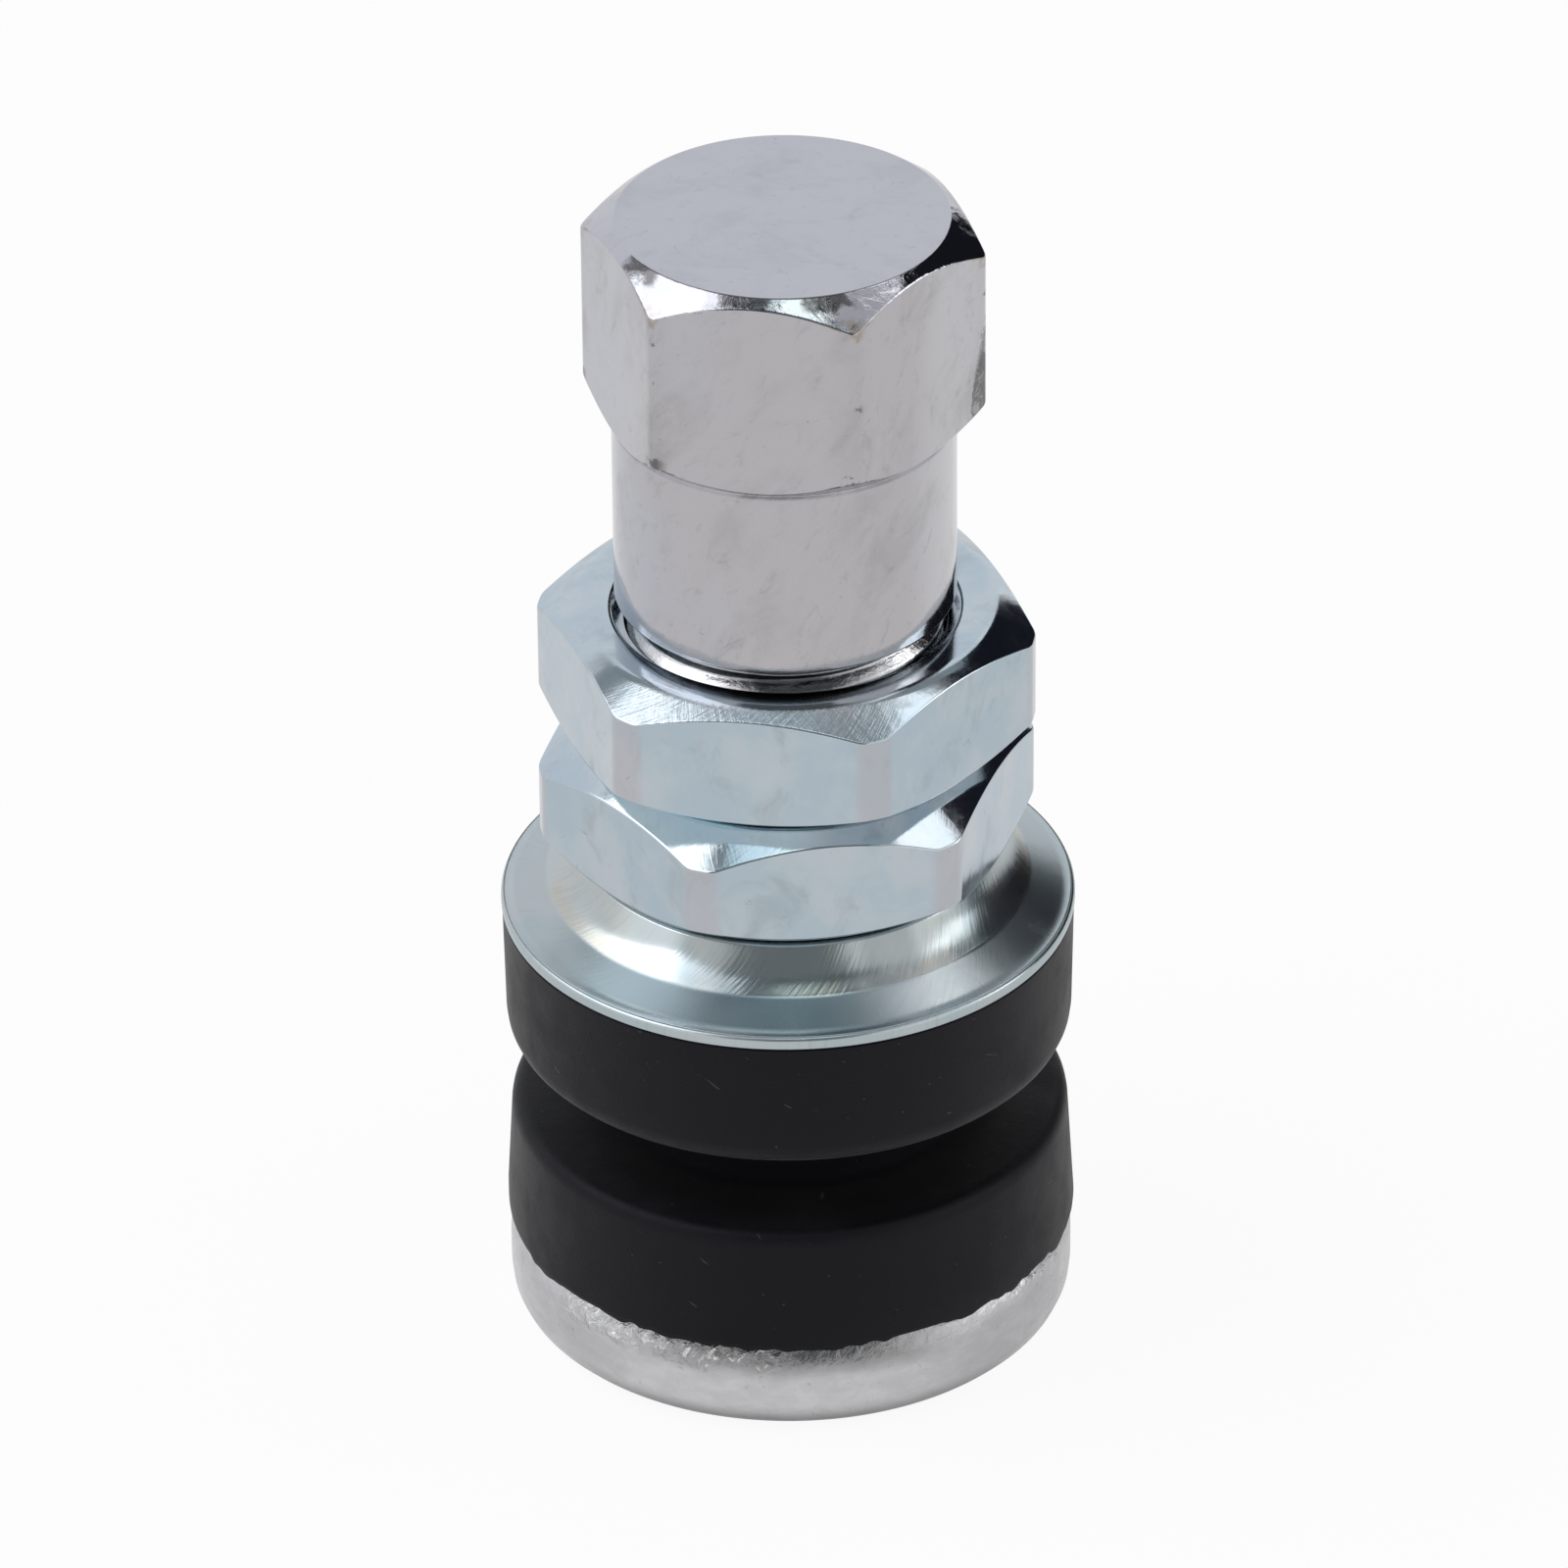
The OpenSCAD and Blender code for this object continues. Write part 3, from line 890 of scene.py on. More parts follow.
        depth = self.dish_depth + (1.0 - self.dish_depth) * boss
        waved = graph.relief(place, self.waves)
        return {
            "Base Color": colour,
            "Metallic": 1.0,
            "Roughness": self.satin + self.cloud_dulling * cloud - self.boss_gloss * boss,
            "Normal": graph.bump(strokes * depth, self.stroke_rise, waved),
        }


@dataclass(frozen=True)
class MouldedRubber(Finish):
    """Matte black rubber with a fine grain, a film of dust and a few specks of lint."""

    title: ClassVar[str] = "moulded_rubber"
    slot: ClassVar[Slot] = Slot.RUBBER
    black: Colour = (0.0022, 0.0022, 0.0034)
    dusty: Tint = Tint((0.0054, 0.0054, 0.0072), 0.6)
    lint: Tint = Tint((0.06, 0.06, 0.06), 0.6)
    matte: float = 0.46
    dust_dulling: float = 0.14
    groove_dulling: float = 0.35
    specular: float = 0.19
    specular_tint: tuple[float, float, float, float] = (0.88, 0.88, 1.0, 1.0)
    sheen: float = 0.10
    sheen_roughness: float = 0.4

    groove_radius: float = 6.0
    groove_fade: float = 1.4
    speck_stretch: Triple = (1.0, 1.0, 1.8)
    fibre_lean: float = 35.0
    fibre_size: Triple = (2.6, 2.6, 0.45)

    dust: Mottle = Mottle(scale=0.45, detail=5.0, roughness=0.6, low=0.42, high=0.75)
    specks: Mottle = Mottle(scale=4.2, detail=1.0, low=0.765, high=0.80)
    fibres: Mottle = Mottle(scale=2.2, detail=1.0, swirl=0.3, low=0.775, high=0.80)
    swell: Relief = Relief(scale=0.7, detail=3.0, rise=0.02)
    grain: Relief = Relief(scale=11.0, detail=3.0, roughness=0.6, rise=0.008)

    def surface(self, graph: Graph) -> dict[str, Input]:
        """Inputs of the Principled shader.

        Args:
            graph: Graph of the finish's material.

        Returns:
            Values and signals by the names of the shader's sockets.
        """
        place = graph.place()
        radius, _, _ = graph.polar(place)
        open_air = graph.step(radius, self.groove_radius, self.groove_radius + self.groove_fade)
        dust = graph.mottle(place, self.dust)
        specks = graph.mottle(graph.stretch(place, self.speck_stretch), self.specks)
        fibres = graph.mottle(graph.grain(place, self.fibre_lean, self.fibre_size), self.fibres)
        colour = graph.tint(self.black, dust, self.dusty)
        colour = graph.tint(colour, graph.math("MAXIMUM", specks, fibres), self.lint)
        swollen = graph.relief(place, self.swell)
        dulled = self.matte + self.dust_dulling * dust
        return {
            "Base Color": colour,
            "Metallic": 0.0,
            "Roughness": dulled + self.groove_dulling * (1.0 - open_air),
            "Specular IOR Level": self.specular,
            "Specular Tint": self.specular_tint,
            "Sheen Weight": self.sheen,
            "Sheen Roughness": self.sheen_roughness,
            "Normal": graph.relief(place, self.grain, swollen),
        }


@dataclass(frozen=True)
class TumbledAlloy(Finish):
    """Light alloy: satin on the flange, crumpled under the rubber and polished on the threads, with
    painted shade under the rubber's edge, towards the foot and on two flanks, and painted glints in
    the crumple.
    """

    title: ClassVar[str] = "tumbled_alloy"
    slot: ClassVar[Slot] = Slot.STEM_METAL
    satin: Colour = (0.58, 0.58, 0.595)
    bright: Colour = (0.67, 0.67, 0.685)
    bottom_shade: Colour = (0.17, 0.165, 0.165)
    under_rubber_shade: Tint = Tint((0.17, 0.165, 0.165), 0.74)
    pit: Tint = Tint((0.27, 0.27, 0.28), 0.3)
    dull_and_shade: Tint = Tint((0.27, 0.27, 0.28), 0.24)
    glint: Tint = Tint((0.92, 0.92, 0.93), 0.6)
    lustre: float = 0.24

    crumple_low: float = 2.2
    crumple_high: float = 3.5
    crumple_blur: float = 0.22
    crumple_least: float = 0.2
    crumple_gloss: float = 0.10
    pit_dulling: float = 0.10
    thread_gloss: float = 0.11
    wander_reach: float = 0.8
    shade_levels: Span = (1.8, 2.65)
    climb_levels: Span = (1.9, 4.0)
    glint_crumple: Span = (0.4, 0.8)
    glint_folds: Span = (0.54, 0.64)
    crumple_side: Side = Side(-108.0, 0.84, 0.985)
    under_rubber_side: Side = Side(-79.0, 0.76, 0.985)
    sole_side: Side = Side(-79.0, 0.5, 0.85)
    shaded_flanks: tuple[Side, ...] = (Side(-136.0, 0.90, 0.998), Side(-29.0, 0.90, 0.998))
    rolled_edge: float = 0.1
    thread_level: float = 15.0
    thread_fade: float = 0.5
    sole_height: float = 1.05
    sole_stray: float = 0.3
    ring_count: float = 8.0
    ring_rise: float = 0.003
    fold_lean: float = 30.0
    fold_size: Triple = (0.8, 0.8, 1.3)
    fold_rise: float = 0.2
    fold_least: float = 0.08
    mottle_stretch: Triple = (1.0, 1.0, 2.0)

    wander: Pattern = Pattern(scale=0.55, detail=4.0)
    mottle: Mottle = Mottle(scale=0.9, detail=6.0, roughness=0.65, swirl=0.4, low=0.32, high=0.70)
    pits: Mottle = Mottle(scale=2.6, detail=4.0, roughness=0.65, swirl=0.4, low=0.62, high=0.70)
    folds: Pattern = Pattern(scale=2.7, detail=5.0, roughness=0.6, swirl=0.5)
    sand: Relief = Relief(scale=12.0, rise=0.003)

    def surface(self, graph: Graph) -> dict[str, Input]:
        """Inputs of the Principled shader.

        Args:
            graph: Graph of the finish's material.

        Returns:
            Values and signals by the names of the shader's sockets.
        """
        place = graph.place()
        radius, angle, height = graph.polar(place)
        wander = self.wander_reach * (graph.noise(place, self.wander) - 0.5)
        level = height + wander
        threads = graph.step(height, self.thread_level - self.thread_fade, self.thread_level)
        plain = 1.0 - threads
        under_rubber = graph.band(level, self.crumple_low, self.crumple_high, self.crumple_blur)
        hammered = graph.side(angle, self.crumple_side)
        crumple = under_rubber * (self.crumple_least + (1.0 - self.crumple_least) * hammered)
        folds = graph.noise(graph.grain(place, self.fold_lean, self.fold_size), self.folds)
        pits = graph.mottle(place, self.pits) * plain

        mottle = graph.mottle(graph.stretch(place, self.mottle_stretch), self.mottle)
        colour = graph.mix(mottle, self.satin, self.bright)
        colour = graph.tint(colour, pits, self.pit)
        # Painted shade: a dark band under the rubber's edge on the front side.
        shaded = graph.step(level, *self.shade_levels)
        colour = graph.tint(colour, shaded * graph.side(angle, self.under_rubber_side), self.under_rubber_shade)
        # Painted shade: the flange darkens towards its foot on the front side.
        sole = 1.0 - graph.step(height + self.sole_stray * wander, 0.0, self.sole_height)
        colour = graph.mix(sole * graph.side(angle, self.sole_side), colour, self.bottom_shade)
        # Painted shade: the flange is greyer on two flanks.
        for side in self.shaded_flanks:
            colour = graph.tint(colour, graph.side(angle, side) * plain, self.dull_and_shade)
        glints = graph.step(crumple, *self.glint_crumple) * graph.step(folds, *self.glint_folds)
        colour = graph.tint(colour, glints, self.glint)

        turned = graph.bump(graph.rings(radius, height, self.ring_count), self.ring_rise)
        climb = graph.step(level, *self.climb_levels) * plain
        rolled = graph.bump(1.0 - climb, self.rolled_edge, turned)
        folded = folds * (self.fold_least + (1.0 - self.fold_least) * crumple)
        coarse = graph.bump(folded, self.fold_rise, rolled)
        dulled = self.lustre - self.crumple_gloss * crumple + self.pit_dulling * pits
        return {
            "Base Color": colour,
            "Metallic": 1.0,
            "Roughness": dulled - self.thread_gloss * threads,
            "Normal": graph.relief(place, self.sand, coarse),
        }


@dataclass(frozen=True)
class TurnedBrass(Finish):
    """Turned brass with tool rings and darker patches."""

    title: ClassVar[str] = "turned_brass"
    slot: ClassVar[Slot] = Slot.CORE_BRASS
    fresh: Colour = (0.72, 0.53, 0.24)
    dulled: Colour = (0.50, 0.34, 0.15)
    patch_dulling: float = 0.18
    lustre: float = 0.24
    ring_count: float = 16.0
    ring_rise: float = 0.003
    patches: Mottle = Mottle(scale=1.1, detail=5.0, roughness=0.6, low=0.42, high=0.68)

    def surface(self, graph: Graph) -> dict[str, Input]:
        """Inputs of the Principled shader.

        Args:
            graph: Graph of the finish's material.

        Returns:
            Values and signals by the names of the shader's sockets.
        """
        place = graph.place()
        radius, _, height = graph.polar(place)
        dull_and_shade = graph.mottle(place, self.patches)
        rings = graph.rings(radius, height, self.ring_count)
        return {
            "Base Color": graph.mix(dull_and_shade, self.fresh, self.dulled),
            "Metallic": 1.0,
            "Roughness": self.lustre + self.patch_dulling * dull_and_shade,
            "Normal": graph.bump(rings, self.ring_rise),
        }


@dataclass(frozen=True)
class SealPlastic(Finish):
    """Red sealing plastic, cut and slightly waxy."""

    title: ClassVar[str] = "seal_plastic"
    slot: ClassVar[Slot] = Slot.SEAL_PLASTIC
    red: Colour = (0.42, 0.05, 0.04)
    deep: Colour = (0.26, 0.03, 0.03)
    waxy: float = 0.38
    cloud_dulling: float = 0.2
    clouds: Pattern = Pattern(scale=1.6, detail=4.0, roughness=0.6)
    grain: Relief = Relief(scale=9.0, rise=0.004)

    def surface(self, graph: Graph) -> dict[str, Input]:
        """Inputs of the Principled shader.

        Args:
            graph: Graph of the finish's material.

        Returns:
            Values and signals by the names of the shader's sockets.
        """
        place = graph.place()
        shade = graph.noise(place, self.clouds)
        return {
            "Base Color": graph.mix(shade, self.red, self.deep),
            "Roughness": self.waxy + self.cloud_dulling * shade,
            "Normal": graph.relief(place, self.grain),
        }


@dataclass(frozen=True)
class SpringWire(Finish):
    """Drawn steel wire with fine lines along it."""

    title: ClassVar[str] = "spring_wire"
    slot: ClassVar[Slot] = Slot.SPRING_STEEL
    steel: Colour = (0.56, 0.56, 0.58)
    drawn: Colour = (0.38, 0.38, 0.40)
    lustre: float = 0.22
    line_dulling: float = 0.15
    line_stretch: Triple = (2.0, 2.0, 16.0)
    line_rise: float = 0.002
    lines: Pattern = Pattern(scale=1.0, detail=3.0)

    def surface(self, graph: Graph) -> dict[str, Input]:
        """Inputs of the Principled shader.

        Args:
            graph: Graph of the finish's material.

        Returns:
            Values and signals by the names of the shader's sockets.
        """
        lines = graph.noise(graph.stretch(graph.place(), self.line_stretch), self.lines)
        return {
            "Base Color": graph.mix(lines, self.steel, self.drawn),
            "Metallic": 1.0,
            "Roughness": self.lustre + self.line_dulling * lines,
            "Normal": graph.bump(lines, self.line_rise),
        }


# Turned meshes


@dataclass(frozen=True)
class Corner:
    """A corner of a turned profile, in millimetres.

    Radius and height are single numbers, or one number for each column round the piece. Ease is how
    far the rounding reaches along both sides, and spans is how finely the stretch up to here is
    cut.
    """

    radius: float | np.ndarray
    height: float | np.ndarray
    ease: float = 0.0
    spans: int = 1


@dataclass(frozen=True)
class Hexagon:
    """Outline of a spanner hexagon whose corners are cut to a circle."""

    across_flats: float
    corner_radius: float
    blend: float
    turn: float = 0.0

    SIDES: ClassVar[int] = 6
    SECTOR: ClassVar[float] = math.radians(60)
    RIDGE_REACH: ClassVar[float] = 1.5
    DENSE_REACH: ClassVar[float] = math.radians(5)
    DENSE: ClassVar[int] = 18
    SPARSE: ClassVar[int] = 9

    def _corner_offset(self, angles: np.ndarray) -> np.ndarray:
        """Angle from the nearest corner, without its sign."""
        half = self.SECTOR / 2
        return np.abs((angles - self.turn + half) % self.SECTOR - half)

    def _faces(self, angles: np.ndarray) -> tuple[np.ndarray, np.ndarray]:
        """Radii of the two flats that meet at the nearest corner.

        Args:
            angles: Angles of the columns.

        Returns:
            Radii of the nearest flat and of the one past the corner.
        """
        offset = self._corner_offset(angles)
        half = self.SECTOR / 2
        apothem = self.across_flats / 2
        return apothem / np.cos(half - offset), apothem / np.cos(half + offset)

    def outline(self, angles: np.ndarray) -> np.ndarray:
        """Outline of the hexagon, with eased corners.

        Args:
            angles: Angles of the columns.

        Returns:
            Radius at each angle.
        """
        near, past = self._faces(angles)
        cut = np.full_like(near, self.corner_radius)
        return smooth_least(smooth_least(near, past, self.blend), cut, self.blend)

    def ridge(self, angles: np.ndarray) -> np.ndarray:
        """Mask of the eased upright edges.

        Args:
            angles: Angles of the columns.

        Returns:
            The mask at each angle.
        """
        near, past = self._faces(angles)
        gap = np.minimum(np.abs(near - past), np.abs(near - self.corner_radius))
        return np.clip(self.RIDGE_REACH - gap / self.blend, 0.0, 1.0)

    def columns(self) -> np.ndarray:
        """Columns round the hexagon, closest together at its corners.

        Returns:
            Angles of the columns.
        """
        dense = self.DENSE_REACH * np.linspace(0.0, 1.0, self.DENSE)
        sparse = np.linspace(dense[-1], self.SECTOR / 2, self.SPARSE + 1)[1:]
        half = np.concatenate([dense, sparse])
        sector = np.concatenate([-half[-2:0:-1], half])
        return np.concatenate([self.turn + k * self.SECTOR + sector for k in range(self.SIDES)])


def smooth_least(first: np.ndarray, second: np.ndarray, blend: float) -> np.ndarray:
    """Smaller of two values, rounded over where they are within blend of each other."""
    near = np.maximum(blend - np.abs(first - second), 0.0) / blend
    return np.minimum(first, second) - near * near * blend / 4


def add_object(name: str, data: bpy.types.ID) -> bpy.types.Object:
    """Object of some data, linked to the scene.

    Args:
        name: Name of the object.
        data: Its mesh, camera or lamp.

    Returns:
        The object.
    """
    made = bpy.data.objects.new(name, data)
    bpy.context.scene.collection.objects.link(made)
    return made


def even_columns(count: int) -> np.ndarray:
    """Angles spread evenly round a piece."""
    return np.linspace(0.0, 2 * math.pi, count, endpoint=False)


def ripple(angles: np.ndarray, waves: float, seed: float) -> np.ndarray:
    """Smooth irregular wave round a piece, from about -1 to 1.

    Args:
        angles: Angles of the columns.
        waves: How many waves fit round the piece, about.
        seed: Picks one pattern.

    Returns:
        The wave at each angle.
    """
    reach = waves / (2 * math.pi)
    points = ((reach * math.cos(a), reach * math.sin(a), seed) for a in angles)
    return RIPPLE_GAIN * np.array([noise.noise(point) for point in points])


@dataclass(frozen=True)
class Lathe:
    """Turns profiles into meshes, with columns at given angles.

    A profile runs over the top, down the outside, in under the piece and up its bore.
    """

    angles: np.ndarray
    ridge: np.ndarray | None = None

    EDGE: ClassVar[str] = "edge"
    EASE_STEPS: ClassVar[int] = 5
    ROUND_ROW: ClassVar[float] = 1e-6
    LEAST_NORMAL: ClassVar[float] = 1e-30

    def turn(
        self,
        name: str,
        corners: Sequence[Corner],
        closed: bool = True,
        reshape: Reshape | None = None,
    ) -> bpy.types.Object:
        """Make the mesh object of a profile.

        Args:
            name: Name of the piece.
            corners: Corners of the profile.
            closed: Whether the profile is a loop. An open one starts and ends on the axis.
            reshape: Gives new radii for the rows' radii, angles and heights.

        Returns:
            The object, linked to the scene.
        """
        radius, height, edge = self._rows(corners)
        if reshape is not None:
            radius = reshape(radius, np.broadcast_to(self.angles, radius.shape), height)
        x, y = radius * np.cos(self.angles), radius * np.sin(self.angles)
        grid = np.stack([x, y, height], axis=-1) * MM
        return self._object(name, grid, edge, closed)

    def _rows(self, corners: Sequence[Corner]) -> tuple[np.ndarray, np.ndarray, np.ndarray]:
        """Rows of points down a profile.

        Args:
            corners: Corners of the profile.

        Returns:
            Radius, height and edge mask, by row and column.
        """
        columns = len(self.angles)
        points = []
        for corner in corners:
            place = (corner.radius, corner.height)
            points.append(np.stack([np.broadcast_to(part, columns) for part in place], axis=-1))
        rows: list[np.ndarray] = []
        wear_and_reflection: list[float] = []
        for i, corner in enumerate(corners):
            arc = [points[i]]
            if corner.ease > 0:
                after = points[(i + 1) % len(points)]
                arc = self._eased(points[i - 1], points[i], after, corner.ease)
            if rows:
                start, shares = rows[-1], np.arange(1, corner.spans) / corner.spans
                rows.extend(start + (arc[0] - start) * share for share in shares)
                wear_and_reflection.extend([0.0] * len(shares))
            rows.extend(arc)
            wear_and_reflection.extend([0.0] + [1.0] * (len(arc) - 2) + [0.0] * min(len(arc) - 1, 1))
        grid = np.stack(rows)
        edge = np.broadcast_to(np.array(wear_and_reflection)[:, None], grid.shape[:2]).copy()
        if self.ridge is not None:
            hexagonal = np.ptp(grid[:, :, 0], axis=1) > self.ROUND_ROW
            edge[hexagonal] = np.maximum(edge[hexagonal], self.ridge)
        return grid[:, :, 0], grid[:, :, 1], edge

    def _eased(
        self, before: np.ndarray, here: np.ndarray, after: np.ndarray, ease: float
    ) -> list[np.ndarray]:
        """Rounding of a corner.

        Args:
            before: Points of the corner before it, by column.
            here: Its own points.
            after: Points of the corner after it.
            ease: Reach of the rounding along both sides.

        Returns:
            Rows of points along the rounding.
        """
        back, ahead = before - here, after - here
        start = here + ease * back / np.linalg.norm(back, axis=-1, keepdims=True)
        end = here + ease * ahead / np.linalg.norm(ahead, axis=-1, keepdims=True)
        steps = np.linspace(0.0, 1.0, self.EASE_STEPS + 1)
        return [(1 - t) ** 2 * start + 2 * t * (1 - t) * here + t * t * end for t in steps]

    def _object(
        self, name: str, grid: np.ndarray, edge: np.ndarray, closed: bool
    ) -> bpy.types.Object:
        """Mesh object of a grid of points, with normals that keep broad faces flat.

        Args:
            name: Name of the piece.
            grid: Points by row and column, in metres.
            edge: Edge mask of the points.
            closed: Whether the last row joins the first.

        Returns:
            The object, linked to the scene.
        """
        rows, columns = grid.shape[:2]
        first = np.arange(rows if closed else rows - 1)
        i, j = np.meshgrid(first, np.arange(columns), indexing="ij")
        below, beside = (i + 1) % rows, (j + 1) % columns
        quads = np.stack([i, below, below, i], axis=-1) * columns
        quads = (quads + np.stack([j, j, beside, beside], axis=-1)).reshape(-1, 4)
        if not closed:
            for pole in (0, rows - 1):
                ring = np.arange(columns) + pole * columns
                quads[np.isin(quads, ring)] = ring[0]
        points = grid.reshape(-1, 3)
        one, other = (points[quads[:, k + 2]] - points[quads[:, k]] for k in range(2))
        across = np.cross(one, other)
        normals = np.zeros_like(points)
        for corner in range(4):
            np.add.at(normals, quads[:, corner], across)
        used, compact = np.unique(quads, return_inverse=True)
        faces = [tuple(dict.fromkeys(face)) for face in compact.reshape(-1, 4).tolist()]
        mesh = bpy.data.meshes.new(name)
        mesh.from_pydata(points[used].tolist(), [], faces)
        mesh.polygons.foreach_set("use_smooth", np.ones(len(faces), dtype=bool))
        mask = mesh.attributes.new(self.EDGE, "FLOAT", "POINT")
        mask.data.foreach_set("value", edge.reshape(-1)[used].astype(np.float32))
        lengths = np.linalg.norm(normals[used], axis=1, keepdims=True)
        unit = normals[used] / np.maximum(lengths, self.LEAST_NORMAL)
        mesh.normals_split_custom_set_from_vertices(unit.tolist())
        mesh.update()
        return add_object(name, mesh)


@dataclass(frozen=True)
class ScrewThread:
    """Right-hand V thread cut into a cylinder, or out into a bore where its depth is negative.

    It fades out at both ends, or only at the bottom where it runs out through the top end.
    """

    radius: float
    bottom: float
    top: float
    pitch: float
    depth: float
    runs_out: bool = False

    ROWS_A_TURN: ClassVar[int] = 12
    VALLEY_WIDTH: ClassVar[float] = 1.25
    FLANK_SLOPE: ClassVar[float] = 2.9
    FADE_TURNS: ClassVar[float] = 0.6

    @property
    def spans(self) -> int:
        """Rows that the thread needs."""
        return math.ceil((self.top - self.bottom) / self.pitch * self.ROWS_A_TURN)

    def cut(self, radius: np.ndarray, angle: np.ndarray, height: np.ndarray) -> np.ndarray:
        """Cut the thread where the surface stands in its way.

        Args:
            radius: Radii of the rows.
            angle: Angles of their points.
            height: Their heights.

        Returns:
            The new radii.
        """
        phase = (height / self.pitch - angle / (2 * math.pi)) % 1.0
        slope = self.FLANK_SLOPE * np.abs(phase - 0.5)
        valley = np.clip(self.VALLEY_WIDTH - slope, 0.0, 1.0)
        room = height - self.bottom
        if not self.runs_out:
            room = np.minimum(room, self.top - height)
        fade = np.clip(room / (self.FADE_TURNS * self.pitch), 0.0, 1.0)
        flank = self.radius - self.depth * valley * fade
        between = (height >= self.bottom) & (height <= self.top)
        inside = between & (np.abs(radius - self.radius) < abs(self.depth))
        nearest = np.minimum if self.depth > 0 else np.maximum
        return np.where(inside, nearest(radius, flank), radius)


def dress(piece: bpy.types.Object, finish: Finish, body: Body, *nodes: str) -> bpy.types.Object:
    """Give a new piece its finish and its body, and hide the CAD nodes it stands for.

    Args:
        piece: The new piece, in place.
        finish: Its surface finish.
        body: The CAD body that it rides on.
        nodes: CAD nodes that it replaces.

    Returns:
        The piece.
    """
    piece.data.materials.clear()
    piece.data.materials.append(finish.material())
    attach(piece, body.value)
    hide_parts(*nodes)
    faces = len(piece.data.polygons)
    LOG.info("%s: %d faces, %s, rides on %s", piece.name, faces, finish.title, body.value)
    return piece


def node_levels(node: str) -> tuple[float, float]:
    """Lowest and highest level of a CAD node, in millimetres."""
    low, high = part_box(node)
    return low.z / MM, high.z / MM


def node_radius(node: str) -> float:
    """Largest reach of a CAD node along X, in millimetres."""
    low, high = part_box(node)
    return max(high.x, -low.x) / MM


# Sub-assemblies


@dataclass
class StemPiece:
    """The stem: a base flange swaged up round the rubber's foot, a clamping and a valve thread.

    The dents are fractal noise: fall is how fast its octaves weaken, and middle and swing turn it
    into a share of the full depth.
    """

    flange_height: float = 3.0
    flange_round: float = 1.1
    round_clear: float = 0.1
    swage_height: float = 0.45
    swage_width: float = 0.8
    shoulder_drop: float = 0.85
    shoulder_inset: float = 0.46
    air_hole_radius: float = 1.8
    clamp_radius: float = 5.0
    clamp_end: float = 25.55
    clamp_pitch: float = 1.0
    clamp_thread_foot: float = 19.0
    clamp_thread_depth: float = 0.36
    relief_radius: float = 3.4
    relief_end: float = 26.45
    thread_chamfer: float = 0.5
    valve_pitch: float = 0.794
    valve_thread_depth: float = 0.42
    plug_seat_radius: float = 2.65
    seat_level: float = 29.2
    taper_radius: float = 2.35
    taper_foot: float = 26.95
    chamber_radius: float = 2.0
    chamber_foot: float = 14.98
    chamber_cone: float = 0.2
    air_bevel: float = 0.3
    dent_depth: float = 0.05
    dent_level: float = 1.9
    dent_least: float = 0.12
    dent_inset: float = 0.02
    dent_scale: Triple = (4.5, 4.5, 0.9)
    dent_fall: float = 0.8
    dent_lacunarity: float = 2.0
    dent_octaves: int = 4
    dent_middle: float = 0.5
    dent_swing: float = 0.7
    columns: int = 288

    def build(self, valve_radius: float) -> bpy.types.Object:
        """Turn the stem and dress it.

        Args:
            valve_radius: Outer radius of the valve thread, from the record.

        Returns:
            The stem's piece.
        """
        foot, mouth = node_levels("valve_stem")
        flange = node_radius("valve_stem")
        air = self.air_hole_radius
        shoulder = self.relief_end + valve_radius - self.relief_radius
        valve_top = mouth - self.thread_chamfer
        clamp_top = self.clamp_end - self.thread_chamfer
        crest = self.flange_height + self.swage_height
        valve = ScrewThread(
            valve_radius,
            shoulder,
            mouth,
            self.valve_pitch,
            self.valve_thread_depth,
            runs_out=True,
        )
        clamp = ScrewThread(
            self.clamp_radius,
            self.clamp_thread_foot,
            self.clamp_end,
            self.clamp_pitch,
            self.clamp_thread_depth,
            runs_out=True,
        )
        corners = [
            Corner(self.plug_seat_radius + self.thread_chamfer / 2, mouth, ease=0.06),
            Corner(valve_radius - self.thread_chamfer, mouth, ease=0.08),
            Corner(valve_radius, valve_top),
            Corner(valve_radius, shoulder, spans=valve.spans),
            Corner(self.relief_radius, self.relief_end, ease=0.1),
            Corner(self.relief_radius, self.clamp_end, ease=0.1),
            Corner(self.clamp_radius - self.thread_chamfer, self.clamp_end, ease=0.08),
            Corner(self.clamp_radius, clamp_top, spans=8),
            Corner(self.clamp_radius, self.clamp_thread_foot, spans=clamp.spans),
            Corner(self.clamp_radius, self.flange_height),
            Corner(flange - self.swage_width, self.flange_height, ease=0.05),
            Corner(flange - self.shoulder_inset, crest, ease=0.06, spans=10),
            Corner(flange, crest - self.shoulder_drop, ease=0.32),
            Corner(flange, self.flange_round + self.round_clear, spans=12),
            Corner(flange, foot, ease=self.flange_round),
            Corner(air + self.air_bevel, foot, ease=0.05, spans=8),
            Corner(air, foot + self.air_bevel, ease=0.05),
            Corner(air, self.chamber_foot - self.chamber_cone),
            Corner(self.chamber_radius, self.chamber_foot),
            Corner(self.chamber_radius, self.taper_foot),
            Corner(self.taper_radius, self.seat_level),
            Corner(self.plug_seat_radius, self.seat_level),
            Corner(self.plug_seat_radius, mouth - self.thread_chamfer / 2, ease=0.05),
        ]

        def reshape(radius: np.ndarray, angle: np.ndarray, height: np.ndarray) -> np.ndarray:
            """Cut both threads and dent the flange's side."""
            threaded = clamp.cut(valve.cut(radius, angle, height), angle, height)
            return threaded - self._dents(radius, angle, height, flange)

        piece = Lathe(even_columns(self.columns)).turn("stem_body", corners, reshape=reshape)
        return dress(piece, TumbledAlloy(), Body.STEM, "valve_stem")

